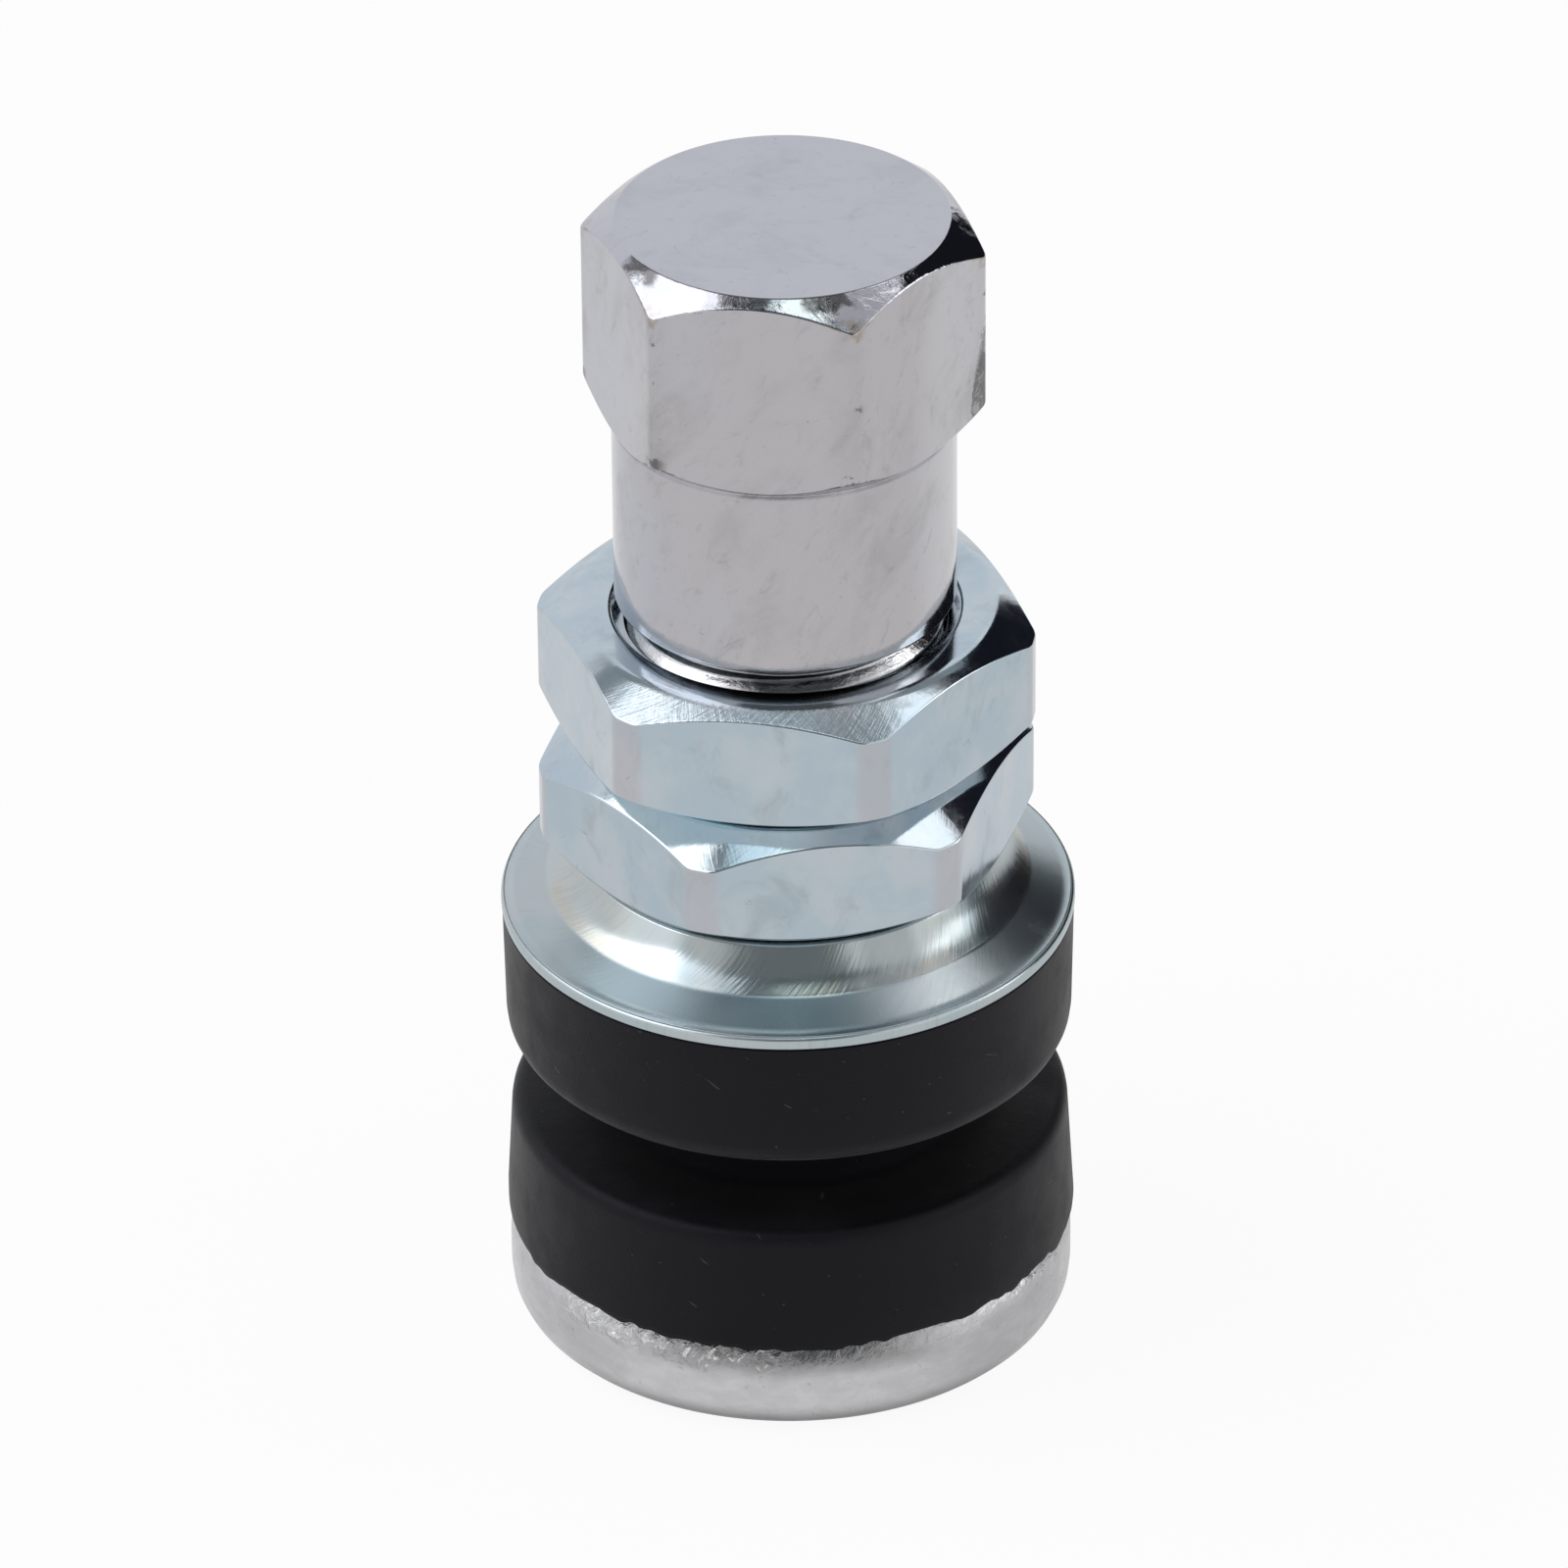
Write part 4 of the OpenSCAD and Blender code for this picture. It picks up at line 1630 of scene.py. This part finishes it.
    def _dents(
        self, radius: np.ndarray, angle: np.ndarray, height: np.ndarray, flange: float
    ) -> np.ndarray:
        """Crumpled dents in the flange's side, deepest under the rubber's edge.

        Args:
            radius: Radii of the rows.
            angle: Angles of their points.
            height: Their heights.
            flange: Radius of the flange.

        Returns:
            Depth of the dents.
        """
        dents = np.zeros_like(radius)
        crest = self.flange_height + self.swage_height
        side = (radius > flange - self.shoulder_inset + self.dent_inset) & (height < crest)
        noise_kind = (self.dent_fall, self.dent_lacunarity, self.dent_octaves)
        across, along, up = self.dent_scale
        for i, j in np.argwhere(side):
            a, z = angle[i, j], height[i, j]
            upper = min(max(z - self.dent_level, self.dent_least), 1.0)
            place = (across * math.cos(a), along * math.sin(a), up * z)
            fold = self.dent_middle + self.dent_swing * noise.fractal(place, *noise_kind)
            dents[i, j] = self.dent_depth * upper * min(max(fold, 0.0), 1.0)
        return dents


@dataclass
class LowerGrommet:
    """The lower rubber with the neck that fills the rim hole and a ragged flash over the base.

    Each ripple of the flash has a share, its waves round the piece and a seed. The flash hangs at
    most so far under the rubber's foot, and leaves at least its cover of the swaged lip.
    """

    bore_radius: float = 5.05
    edge_round: float = 0.5
    draft: float = 0.2
    flash_level: float = 3.22
    flash_wave: float = 0.14
    flash_hang: float = 0.1
    flash_cover: float = 0.18
    flash_lip: float = 0.07
    flash_ripples: tuple[Triple, ...] = ((1.0, 15.0, 3.7), (0.7, 48.0, 9.1), (0.5, 130.0, 1.3))
    lip_waves: float = 11.0
    lip_seed: float = 5.3
    lip_bias: float = 0.25
    lip_rise: float = 0.04
    lip_undercut: float = 0.01
    bulge_start: float = 0.5
    bulge_middle: float = 0.22
    tuck: float = 0.02
    tuck_rise: float = 0.03
    bed: float = 0.01
    bed_rise: float = 0.005
    columns: int = 720

    def build(
        self, neck_radius: float, rim_gap: float, rim_middle: float, stem: StemPiece
    ) -> bpy.types.Object:
        """Turn the grommet and dress it.

        Args:
            neck_radius: Radius of the neck, from the rim seat in the record.
            rim_gap: Width of the rim groove, from the record.
            rim_middle: Level of the groove's middle, from the record.
            stem: Stem whose swaged flange it stands in.

        Returns:
            The grommet's piece.
        """
        foot, top = node_levels("lower_grommet")
        outside = node_radius("lower_grommet")
        ledge = rim_middle - rim_gap / 2
        flange = node_radius("valve_stem")
        angles = even_columns(self.columns)
        ragged = sum(share * ripple(angles, *wave) for share, *wave in self.flash_ripples)
        crest = foot + stem.swage_height
        slant = stem.shoulder_inset / stem.shoulder_drop
        lowest, highest = foot - self.flash_hang, crest - self.flash_cover
        flash = np.clip(self.flash_level + self.flash_wave * ragged, lowest, highest)
        bulge = self.lip_bias + ripple(angles, self.lip_waves, self.lip_seed)
        lip = outside + self.flash_lip * np.clip(bulge, 0.0, 1.0)
        tucked = flange - slant * (flash + stem.shoulder_drop - crest)
        corners = [
            Corner(self.bore_radius, top),
            Corner(neck_radius, top, ease=0.1),
            Corner(neck_radius, ledge, ease=self.edge_round, spans=4),
            Corner(outside - self.draft, ledge, ease=self.edge_round, spans=4),
            Corner(outside, crest + self.bulge_start, spans=8),
            Corner((outside + lip) / 2, crest + self.bulge_middle),
            Corner(lip, (crest + flash) / 2 + self.lip_rise, ease=0.03),
            Corner(lip - self.lip_undercut, flash, ease=0.02),
            Corner(tucked + self.tuck, flash + self.tuck_rise),
            Corner(flange - stem.shoulder_inset + self.bed, crest + self.bed),
            Corner(flange - stem.swage_width, foot + self.bed_rise),
            Corner(self.bore_radius, foot),
        ]
        piece = Lathe(angles).turn("lower_grommet_rubber", corners)
        return dress(piece, MouldedRubber(), Body.STEM, "lower_grommet")


@dataclass
class UpperGrommet:
    """The upper rubber, clamped between the rim and the cup washer."""

    bore_radius: float = 5.05
    foot_round: float = 0.8
    draft: float = 0.08
    dish_rise: float = 0.5
    crown_radius: float = 7.375
    spigot: float = 0.95
    neck_play: float = 0.05
    rim_lip: float = 0.22
    columns: int = 240

    def build(self, neck_radius: float) -> bpy.types.Object:
        """Turn the grommet and dress it.

        Args:
            neck_radius: Radius of the neck that enters it from below, from the record.

        Returns:
            The grommet's piece.
        """
        foot, crown = node_levels("upper_grommet")
        outside = node_radius("upper_grommet")
        rim = crown - self.dish_rise
        recess = neck_radius + self.neck_play
        corners = [
            Corner(self.bore_radius, crown),
            Corner(self.crown_radius, crown),
            Corner(outside - self.rim_lip, rim),
            Corner(outside, rim, ease=0.06),
            Corner(outside - self.draft, foot, ease=self.foot_round, spans=6),
            Corner(recess, foot, ease=0.15, spans=4),
            Corner(recess, foot + self.spigot),
            Corner(self.bore_radius, foot + self.spigot),
        ]
        piece = Lathe(even_columns(self.columns)).turn("upper_grommet_rubber", corners)
        return dress(piece, MouldedRubber(), Body.STEM, "upper_grommet")


@dataclass
class CupWasher:
    """The pressed washer: a dished rim and a conical boss under the nuts."""

    sheet: float = 0.55
    boss_rise: float = 1.25
    boss_foot_radius: float = 7.65
    boss_top_radius: float = 6.6
    boss_hollow: float = 0.42
    hollow_level: float = 0.42
    dish_drop: float = 0.1
    rim_fall: float = 0.03
    bore_radius: float = 5.06
    columns: int = 288

    def build(self) -> bpy.types.Object:
        """Press the washer and dress it.

        Returns:
            The washer's piece.
        """
        rim, top = node_levels("cup_washer")
        outside = node_radius("cup_washer")
        fold = self.sheet / 2
        shoulder = top - self.boss_rise
        hollow = shoulder + self.boss_rise * self.hollow_level
        brim = rim + self.sheet - self.dish_drop
        corners = [
            Corner(self.bore_radius, top, ease=0.05),
            Corner(self.boss_top_radius, top, ease=0.10, spans=3),
            Corner(self.boss_top_radius + self.boss_hollow, hollow, ease=0.42, spans=2),
            Corner(self.boss_foot_radius, shoulder, ease=0.06, spans=2),
            Corner(outside - fold, brim, ease=0.2, spans=6),
            Corner(outside, brim - self.rim_fall, ease=0.16),
            Corner(outside, rim, ease=0.12),
            Corner(outside - fold, rim),
            Corner(self.boss_foot_radius - fold, shoulder - self.sheet, ease=0.1),
            Corner(self.boss_top_radius - fold, top - self.sheet, ease=0.1),
            Corner(self.bore_radius, top - self.sheet, ease=0.05),
        ]
        piece = Lathe(even_columns(self.columns)).turn("cup_washer_plate", corners)
        return dress(piece, BrushedZinc(), Body.STEM, "cup_washer")


@dataclass
class ClampNut:
    """One of the two thin hexagon nuts."""

    across_flats: float = 14.0
    corner_radius: float = 7.85
    face_radius: float = 6.3
    chamfer_slope: float = 28.0
    bore_radius: float = 5.06
    countersink: float = 0.45
    corner_blend: float = 0.10
    finish: ZincPlate = ZincPlate()

    def build(self, node: str, body: Body, turn: float) -> bpy.types.Object:
        """Cut the nut and dress it.

        Args:
            node: CAD node that it stands for.
            body: CAD body that it rides on.
            turn: Angle of one of its corners from +X in degrees.

        Returns:
            The nut's piece.
        """
        low, high = node_levels(node)
        hexagon = Hexagon(
            self.across_flats, self.corner_radius, self.corner_blend, math.radians(turn)
        )
        angles = hexagon.columns()
        side = hexagon.outline(angles)
        drop = (side - self.face_radius) * math.tan(math.radians(self.chamfer_slope))
        mouth = self.bore_radius + self.countersink
        corners = [
            Corner(mouth, high, ease=0.1),
            Corner(self.face_radius, high, ease=0.22, spans=2),
            Corner(side, high - drop, ease=0.07, spans=3),
            Corner(side, low + drop, ease=0.07, spans=3),
            Corner(self.face_radius, low, ease=0.12, spans=2),
            Corner(mouth, low, ease=0.1),
            Corner(self.bore_radius, low + self.countersink, ease=0.05),
            Corner(self.bore_radius, high - self.countersink, ease=0.05),
        ]
        piece = Lathe(angles, hexagon.ridge(angles)).turn(f"{node}_hexagon", corners)
        return dress(piece, self.finish, body, node)


@dataclass
class ScrewCap:
    """The chromed cap: a hexagon head, a round barrel, an inner thread and the seal in its roof."""

    across_flats: float = 11.0
    head_height: float = 6.8
    barrel_step: float = 0.15
    top_inset: float = 0.34
    top_slope: float = 37.0
    under_slope: float = 38.0
    skirt_bevel: float = 0.08
    roof: float = 1.6
    bore_radius: float = 3.91
    bore_bevel: float = 0.35
    lead_in: float = 0.8
    thread_pitch: float = 0.794
    thread_depth: float = 0.4
    thread_clear: float = 1.2
    corner_blend: float = 0.16
    neck_inset: float = 0.05
    neck_drop: float = 0.03
    neck_foot: float = 0.17
    seal_hole: float = 1.5
    seal_columns: int = 96

    def build(self) -> bpy.types.Object:
        """Cut the cap and dress it.

        Returns:
            The cap's piece.
        """
        skirt, top = node_levels("cap")
        apothem = self.across_flats / 2
        corner = apothem / math.cos(Hexagon.SECTOR / 2)
        hexagon = Hexagon(self.across_flats, corner, self.corner_blend)
        angles = hexagon.columns()
        side = hexagon.outline(angles)
        crown = apothem - self.top_inset
        barrel = apothem - self.barrel_step
        head = top - self.head_height
        drop = (side - crown) * math.tan(math.radians(self.top_slope))
        rise = (side - barrel) * math.tan(math.radians(self.under_slope))
        mouth = self.bore_radius + self.bore_bevel
        thread_foot = skirt + self.lead_in + self.bore_bevel
        thread_top = top - self.roof - self.thread_clear
        thread = ScrewThread(
            self.bore_radius, thread_foot, thread_top, self.thread_pitch, -self.thread_depth
        )
        corners = [
            Corner(0.0, top),
            Corner(crown, top, ease=0.05, spans=4),
            Corner(side, top - drop, ease=0.07, spans=3),
            Corner(side, head + rise, ease=0.06, spans=3),
            Corner(barrel - self.neck_inset, head - self.neck_drop, ease=0.03),
            Corner(barrel, head - self.neck_foot, ease=0.07),
            Corner(barrel, skirt + self.skirt_bevel, ease=0.05, spans=3),
            Corner(barrel - self.skirt_bevel, skirt, ease=0.05),
            Corner(mouth, skirt, ease=0.06),
            Corner(mouth, skirt + self.lead_in),
            Corner(self.bore_radius, thread_foot),
            Corner(self.bore_radius, thread_top, spans=thread.spans),
            Corner(self.bore_radius, top - self.roof),
            Corner(0.0, top - self.roof),
        ]
        lathe = Lathe(angles, hexagon.ridge(angles))
        piece = lathe.turn("cap_shell", corners, closed=False, reshape=thread.cut)
        return dress(piece, ChromePlate(), Body.CAP, "cap")

    def build_seal(self) -> bpy.types.Object:
        """Turn the seal in the cap's roof and dress it.

        Returns:
            The seal's piece.
        """
        low, high = node_levels("cap_seal")
        outside = node_radius("cap_seal")
        corners = [
            Corner(self.seal_hole, high, ease=0.08),
            Corner(outside, high, ease=0.08),
            Corner(outside, low, ease=0.12),
            Corner(self.seal_hole, low, ease=0.12),
        ]
        piece = Lathe(even_columns(self.seal_columns)).turn("cap_seal_ring", corners)
        return dress(piece, MouldedRubber(), Body.CAP_SEAL, "cap_seal")


@dataclass
class ValveCore:
    """The core inside the stem: CAD pieces with their finishes, and a smooth coil spring."""

    wire_radius: float = 0.15
    turns: float = 7.0
    steps_a_turn: int = 28
    wire_sides: int = 10
    flat_turns: float = 0.62
    settle_wires: float = 2.1

    def build(
        self, nodes: Mapping[str, bpy.types.Object], joints: Sequence[Mapping[str, Any]]
    ) -> bpy.types.Object:
        """Finish the CAD pieces and wind the spring.

        Args:
            nodes: CAD objects by name.
            joints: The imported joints.

        Returns:
            The spring's piece.
        """
        finishes: dict[str, Finish] = {
            "core_plug": TurnedBrass(),
            "core_barrel": TurnedBrass(),
            "core_pin": TurnedBrass(),
            "plunger_cup": TurnedBrass(),
            "barrel_seal": SealPlastic(),
            "plunger_seal": MouldedRubber(),
        }
        for name, finish in finishes.items():
            nodes[name].data.materials.clear()
            nodes[name].data.materials.append(finish.material())
            LOG.info("%s: CAD piece, %s", name, finish.title)
        press = next(joint for joint in joints if joint["name"] == "pin_press")
        spring = dress(self._spring(), SpringWire(), Body.STEM, "core_spring")
        _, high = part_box("core_spring")
        fixed = press["deforming_nodes"][0]["fixed_end_z_m"]
        keep = 1.0 - press["range_m"][1] / (high.z - fixed)
        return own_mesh(spring)

    def _spring(self) -> bpy.types.Object:
        """Coil of round wire with closed end turns.

        Returns:
            The coil's object.
        """
        low, high = node_levels("core_spring")
        coil = node_radius("core_spring") - self.wire_radius
        steps = int(self.turns * self.steps_a_turn)
        turn = np.linspace(0.0, self.turns, steps + 1)
        flat = self.flat_turns
        rise = np.clip((turn - flat) / (self.turns - 2 * flat), 0.0, 1.0)
        settle = self.settle_wires * self.wire_radius
        ends = np.clip(turn / flat, 0, 1) + np.clip((turn - self.turns + flat) / flat, 0, 1)
        room = high - low - 2 * self.wire_radius - 2 * settle
        level = low + self.wire_radius + settle * ends + room * rise
        around = 2 * math.pi * turn[:, None]
        section = 2 * math.pi * np.arange(self.wire_sides)[None, :] / self.wire_sides
        reach = coil + self.wire_radius * np.cos(section)
        points = np.stack(
            [
                reach * np.cos(around),
                reach * np.sin(around),
                level[:, None] + self.wire_radius * np.sin(section) + 0 * around,
            ],
            axis=-1,
        )
        sides = self.wire_sides
        faces: list[tuple[int, ...]] = []
        for here in range(0, steps * sides, sides):
            ahead = here + sides
            for s in range(sides):
                beside = (s + 1) % sides
                faces.append((here + s, ahead + s, ahead + beside, here + beside))
        faces.append(tuple(range(sides)))
        faces.append(tuple(steps * sides + s for s in reversed(range(sides))))
        mesh = bpy.data.meshes.new("core_spring_coil")
        mesh.from_pydata((points.reshape(-1, 3) * MM).tolist(), [], faces)
        mesh.polygons.foreach_set("use_smooth", np.ones(len(faces), dtype=bool))
        return add_object("core_spring_coil", mesh)


# Studio


@dataclass(frozen=True)
class PhotoCamera:
    """Camera at the photograph's viewing angle, in millimetres and degrees."""

    azimuth: float = 9.8
    elevation: float = 31.73
    distance: float = 388.0
    rise: float = 15.8
    slide: float = -0.1
    roll: float = -0.5
    focal_pixels: float = 12265.0
    image_pixels: float = 1600.0
    sensor: float = 36.0
    clip_start: float = 0.01
    clip_end: float = 20.0

    def axes(self) -> tuple[Vector, Vector, Vector]:
        """Directions of the camera.

        Returns:
            Its right, its up and its back.
        """
        a, e = math.radians(self.azimuth), math.radians(self.elevation)
        back = Vector((math.sin(a) * math.cos(e), -math.cos(a) * math.cos(e), math.sin(e)))
        right = Vector((math.cos(a), math.sin(a), 0.0))
        return right, back.cross(right), back

    def build(self) -> bpy.types.Object:
        """Make the scene's camera.

        Returns:
            The camera.
        """
        right, up, back = self.axes()
        data = bpy.data.cameras.new("photo_camera")
        data.sensor_width = self.sensor
        data.lens = self.sensor * self.focal_pixels / self.image_pixels
        data.clip_start, data.clip_end = self.clip_start, self.clip_end
        camera = add_object("photo_camera", data)
        turn = Matrix((right, up, back)).transposed().to_4x4()
        roll = Matrix.Rotation(math.radians(self.roll), 4, "Z")
        place = back * self.distance + up * self.rise + right * self.slide
        camera.matrix_world = Matrix.Translation(place * MM) @ turn @ roll
        bpy.context.scene.camera = camera
        return camera


@dataclass(frozen=True)
class Panel:
    """A softbox or a card of the studio, placed as it is seen from the valve.

    Bearing is in degrees to the right of straight behind the valve, height is in degrees above the
    floor, and width and tall are the angles that it spans. Tone is its own brightness, where 1 is
    white, and its distance is in metres.
    """

    title: str
    bearing: float
    height: float
    width: float
    tall: float
    tone: Colour
    distance: float
    lit: bool

    def _frame(self, azimuth: float) -> Matrix:
        """Place of the panel, facing the valve.

        Args:
            azimuth: Azimuth of the camera in degrees.

        Returns:
            Matrix of the panel.
        """
        b, h = math.radians(self.bearing - azimuth), math.radians(self.height)
        out = Vector((math.sin(b) * math.cos(h), math.cos(b) * math.cos(h), math.sin(h)))
        across = Vector((0, 0, 1)).cross(out).normalized()
        turn = Matrix((across, out.cross(across), out)).transposed().to_4x4()
        return Matrix.Translation(out * self.distance) @ turn

    def _span(self) -> tuple[float, float]:
        """Width and height in metres."""
        halves = (math.tan(math.radians(angle / 2)) for angle in (self.width, self.tall))
        return tuple(2 * self.distance * half for half in halves)

    def build(self, azimuth: float) -> bpy.types.Object:
        """Hang the panel round the valve.

        Args:
            azimuth: Azimuth of the camera in degrees.

        Returns:
            A lamp, or a card.
        """
        made = self._lamp() if self.lit else self._card()
        made.matrix_world = self._frame(azimuth)
        made.visible_camera = False
        made.visible_diffuse = self.lit
        made.visible_shadow = self.lit
        LOG.info("%s: %s", self.title, "softbox" if self.lit else "card")
        return made

    def _lamp(self) -> bpy.types.Object:
        """Area lamp whose face has the panel's tone.

        Returns:
            The lamp.
        """
        width, tall = self._span()
        data = bpy.data.lights.new(self.title, "AREA")
        data.shape = "RECTANGLE"
        data.size, data.size_y = width, tall
        level = max(self.tone)
        data.color = [part / level for part in self.tone]
        data.energy = level * math.pi * width * tall
        return add_object(self.title, data)

    def _card(self) -> bpy.types.Object:
        """Plain card that shows its tone.

        Returns:
            The card.
        """
        x, y = (span / 2 for span in self._span())
        mesh = bpy.data.meshes.new(self.title)
        corners = [(-x, -y, 0.0), (x, -y, 0.0), (x, y, 0.0), (-x, y, 0.0)]
        mesh.from_pydata(corners, [], [(0, 1, 2, 3)])
        mesh.materials.append(new_material(self.title, self._glow))
        card = add_object(self.title, mesh)
        return card

    def _glow(self, graph: Graph) -> bpy.types.Node:
        """Even glow of the card's tone."""
        return graph.node("ShaderNodeEmission", None, {"Color": self.tone, "Strength": 1.0})


@dataclass(frozen=True)
class Studio:
    """Pale floor, white surroundings, softboxes to the left and right, and grey and black cards.

    Seen white and mirrored white are the shares of plain white that the floor shows to the camera
    and in reflections, and ambient is how strongly the surroundings light the valve.
    """

    white: Colour = (1.0, 1.0, 1.0)
    black: Colour = (0.012, 0.012, 0.018)
    floor_radius: float = 2.0
    floor_sides: int = 64
    floor_tone: float = 0.88
    seen_white: float = 0.925
    mirrored_white: float = 0.46
    ambient: float = 0.56
    azimuth: float = 9.8

    def panels(self) -> list[Panel]:
        """Panels of the studio, seen from the valve.

        Returns:
            The softboxes and cards.
        """
        return [
            Panel("left_softbox", -93.0, 53.0, 48.0, 38.0, (1.75, 1.75, 1.78), 0.70, True),
            Panel("right_softbox", 86.0, 28.0, 19.0, 24.0, (1.80, 1.78, 1.75), 0.70, True),
            Panel("green_card", 162.0, 75.0, 19.0, 12.0, (1.80, 2.00, 1.90), 0.85, False),
            Panel("side_card", 99.0, 62.0, 28.0, 20.0, (0.62, 0.62, 0.64), 0.90, False),
            Panel("high_card", 69.0, 59.0, 15.0, 15.0, (1.7, 1.7, 1.7), 0.88, False),
            Panel("tall_black_card", 65.0, 28.0, 28.0, 52.0, self.black, 0.95, False),
            Panel("low_black_card", 40.5, 19.0, 29.0, 52.0, self.black, 0.95, False),
            Panel("back_card", -28.0, 21.0, 98.0, 46.0, (0.885, 0.90, 0.93), 1.0, False),
            Panel("zenith_card", 180.0, 83.0, 26.0, 13.0, (0.72, 0.86, 0.97), 1.0, False),
            Panel("ceiling_card", 180.0, 76.0, 60.0, 34.0, (0.06, 0.07, 0.08), 1.1, False),
            Panel("rear_ceiling_card", 0.0, 67.0, 100.0, 44.0, (0.33, 0.36, 0.375), 1.15, False),
            Panel("camera_card", 180.0, 34.0, 52.0, 50.0, (0.20, 0.22, 0.23), 1.1, False),
        ]

    def build(self) -> None:
        """Set up the floor, the surroundings, the lamps and the cards."""
        bpy.context.scene.view_settings.view_transform = "Standard"
        self._floor()
        self._surroundings()
        for panel in self.panels():
            panel.build(self.azimuth)

    def _rays(self, graph: Graph) -> tuple[Signal, Signal]:
        """Kinds of rays.

        Args:
            graph: Graph of the material that the rays meet.

        Returns:
            1 for rays from the camera, and 1 for rays from gloss and glass.
        """
        path = graph.node("ShaderNodeLightPath")
        gloss, glass = graph.out(path, "Is Glossy Ray"), graph.out(path, "Is Transmission Ray")
        return graph.out(path, "Is Camera Ray"), graph.math("MAXIMUM", gloss, glass)

    def _floor(self) -> None:
        """Round pale floor that keeps a soft shadow."""
        mesh = bpy.data.meshes.new("floor")
        angles = even_columns(self.floor_sides)
        rim = self.floor_radius * np.stack([np.cos(angles), np.sin(angles), 0 * angles], axis=-1)
        mesh.from_pydata(rim.tolist(), [], [tuple(range(len(rim)))])
        mesh.materials.append(new_material("floor", self._paper))
        floor = add_object("floor", mesh)

    def _paper(self, graph: Graph) -> bpy.types.Node:
        """Pale paper, which shows a share of plain white to the camera and in reflections.

        Args:
            graph: Graph of the floor's material.

        Returns:
            The floor's shader.
        """
        paper = graph.node("ShaderNodeBsdfDiffuse", None, {"Color": (self.floor_tone,) * 3})
        white = graph.node("ShaderNodeEmission", None, {"Color": self.white, "Strength": 1.0})
        seen, mirrored = self._rays(graph)
        share = seen * self.seen_white + mirrored * self.mirrored_white
        inputs = {0: share, 1: graph.out(paper), 2: graph.out(white)}
        return graph.node("ShaderNodeMixShader", None, inputs)

    def _surroundings(self) -> None:
        """White surroundings that light the valve at a plain level."""
        world = bpy.data.worlds.new("studio")
        world.use_nodes = True
        graph = Graph(world.node_tree)
        seen, mirrored = self._rays(graph)
        strength = self.ambient + (seen + mirrored) * (1.0 - self.ambient)
        sky = graph.node("ShaderNodeBackground", None, {"Color": self.white, "Strength": strength})
        graph.node("ShaderNodeOutputWorld", None, {"Surface": graph.out(sky)})
        bpy.context.scene.world = world


def main() -> None:
    """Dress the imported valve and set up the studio."""
    logging.basicConfig(level=logging.INFO, format="%(name)s %(message)s")
    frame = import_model()
    mounts = {mount["name"]: mount for mount in frame["record"]["mounts"]}
    rim, valve = mounts["rim_seat"], mounts["valve_thread"]

    stem = StemPiece()
    stem.build(valve["dims"]["r_mm"])
    neck, gap, middle = rim["dims"]["r_mm"], rim["dims"]["length_mm"], rim["pos_m"][2] / MM
    LowerGrommet().build(neck, gap, middle, stem)
    UpperGrommet().build(neck)
    CupWasher().build()
    # The lower nut's front chamfer carries a strong pale blue painted reflection.
    pale_zinc = ZincPlate(
        wear_and_reflection=Tint((0.86, 0.97, 1.0), 0.7), scored_side=Side(-105.0, 0.78, 0.94), scoring=0.15
    )
    lower_nut = ClampNut(chamfer_slope=32.0, finish=pale_zinc)
    lower_nut.build("lower_nut", Body.LOWER_NUT, turn=19.5)
    upper_nut = ClampNut(face_radius=6.5, chamfer_slope=27.0)
    upper_nut.build("upper_nut", Body.UPPER_NUT, turn=0.0)
    cap = ScrewCap()
    cap.build()
    cap.build_seal()
    ValveCore().build(frame["nodes"], frame["joints"])
    camera = PhotoCamera()
    camera.build()
    Studio(azimuth=camera.azimuth).build()


if __name__ == "__main__":
    main()
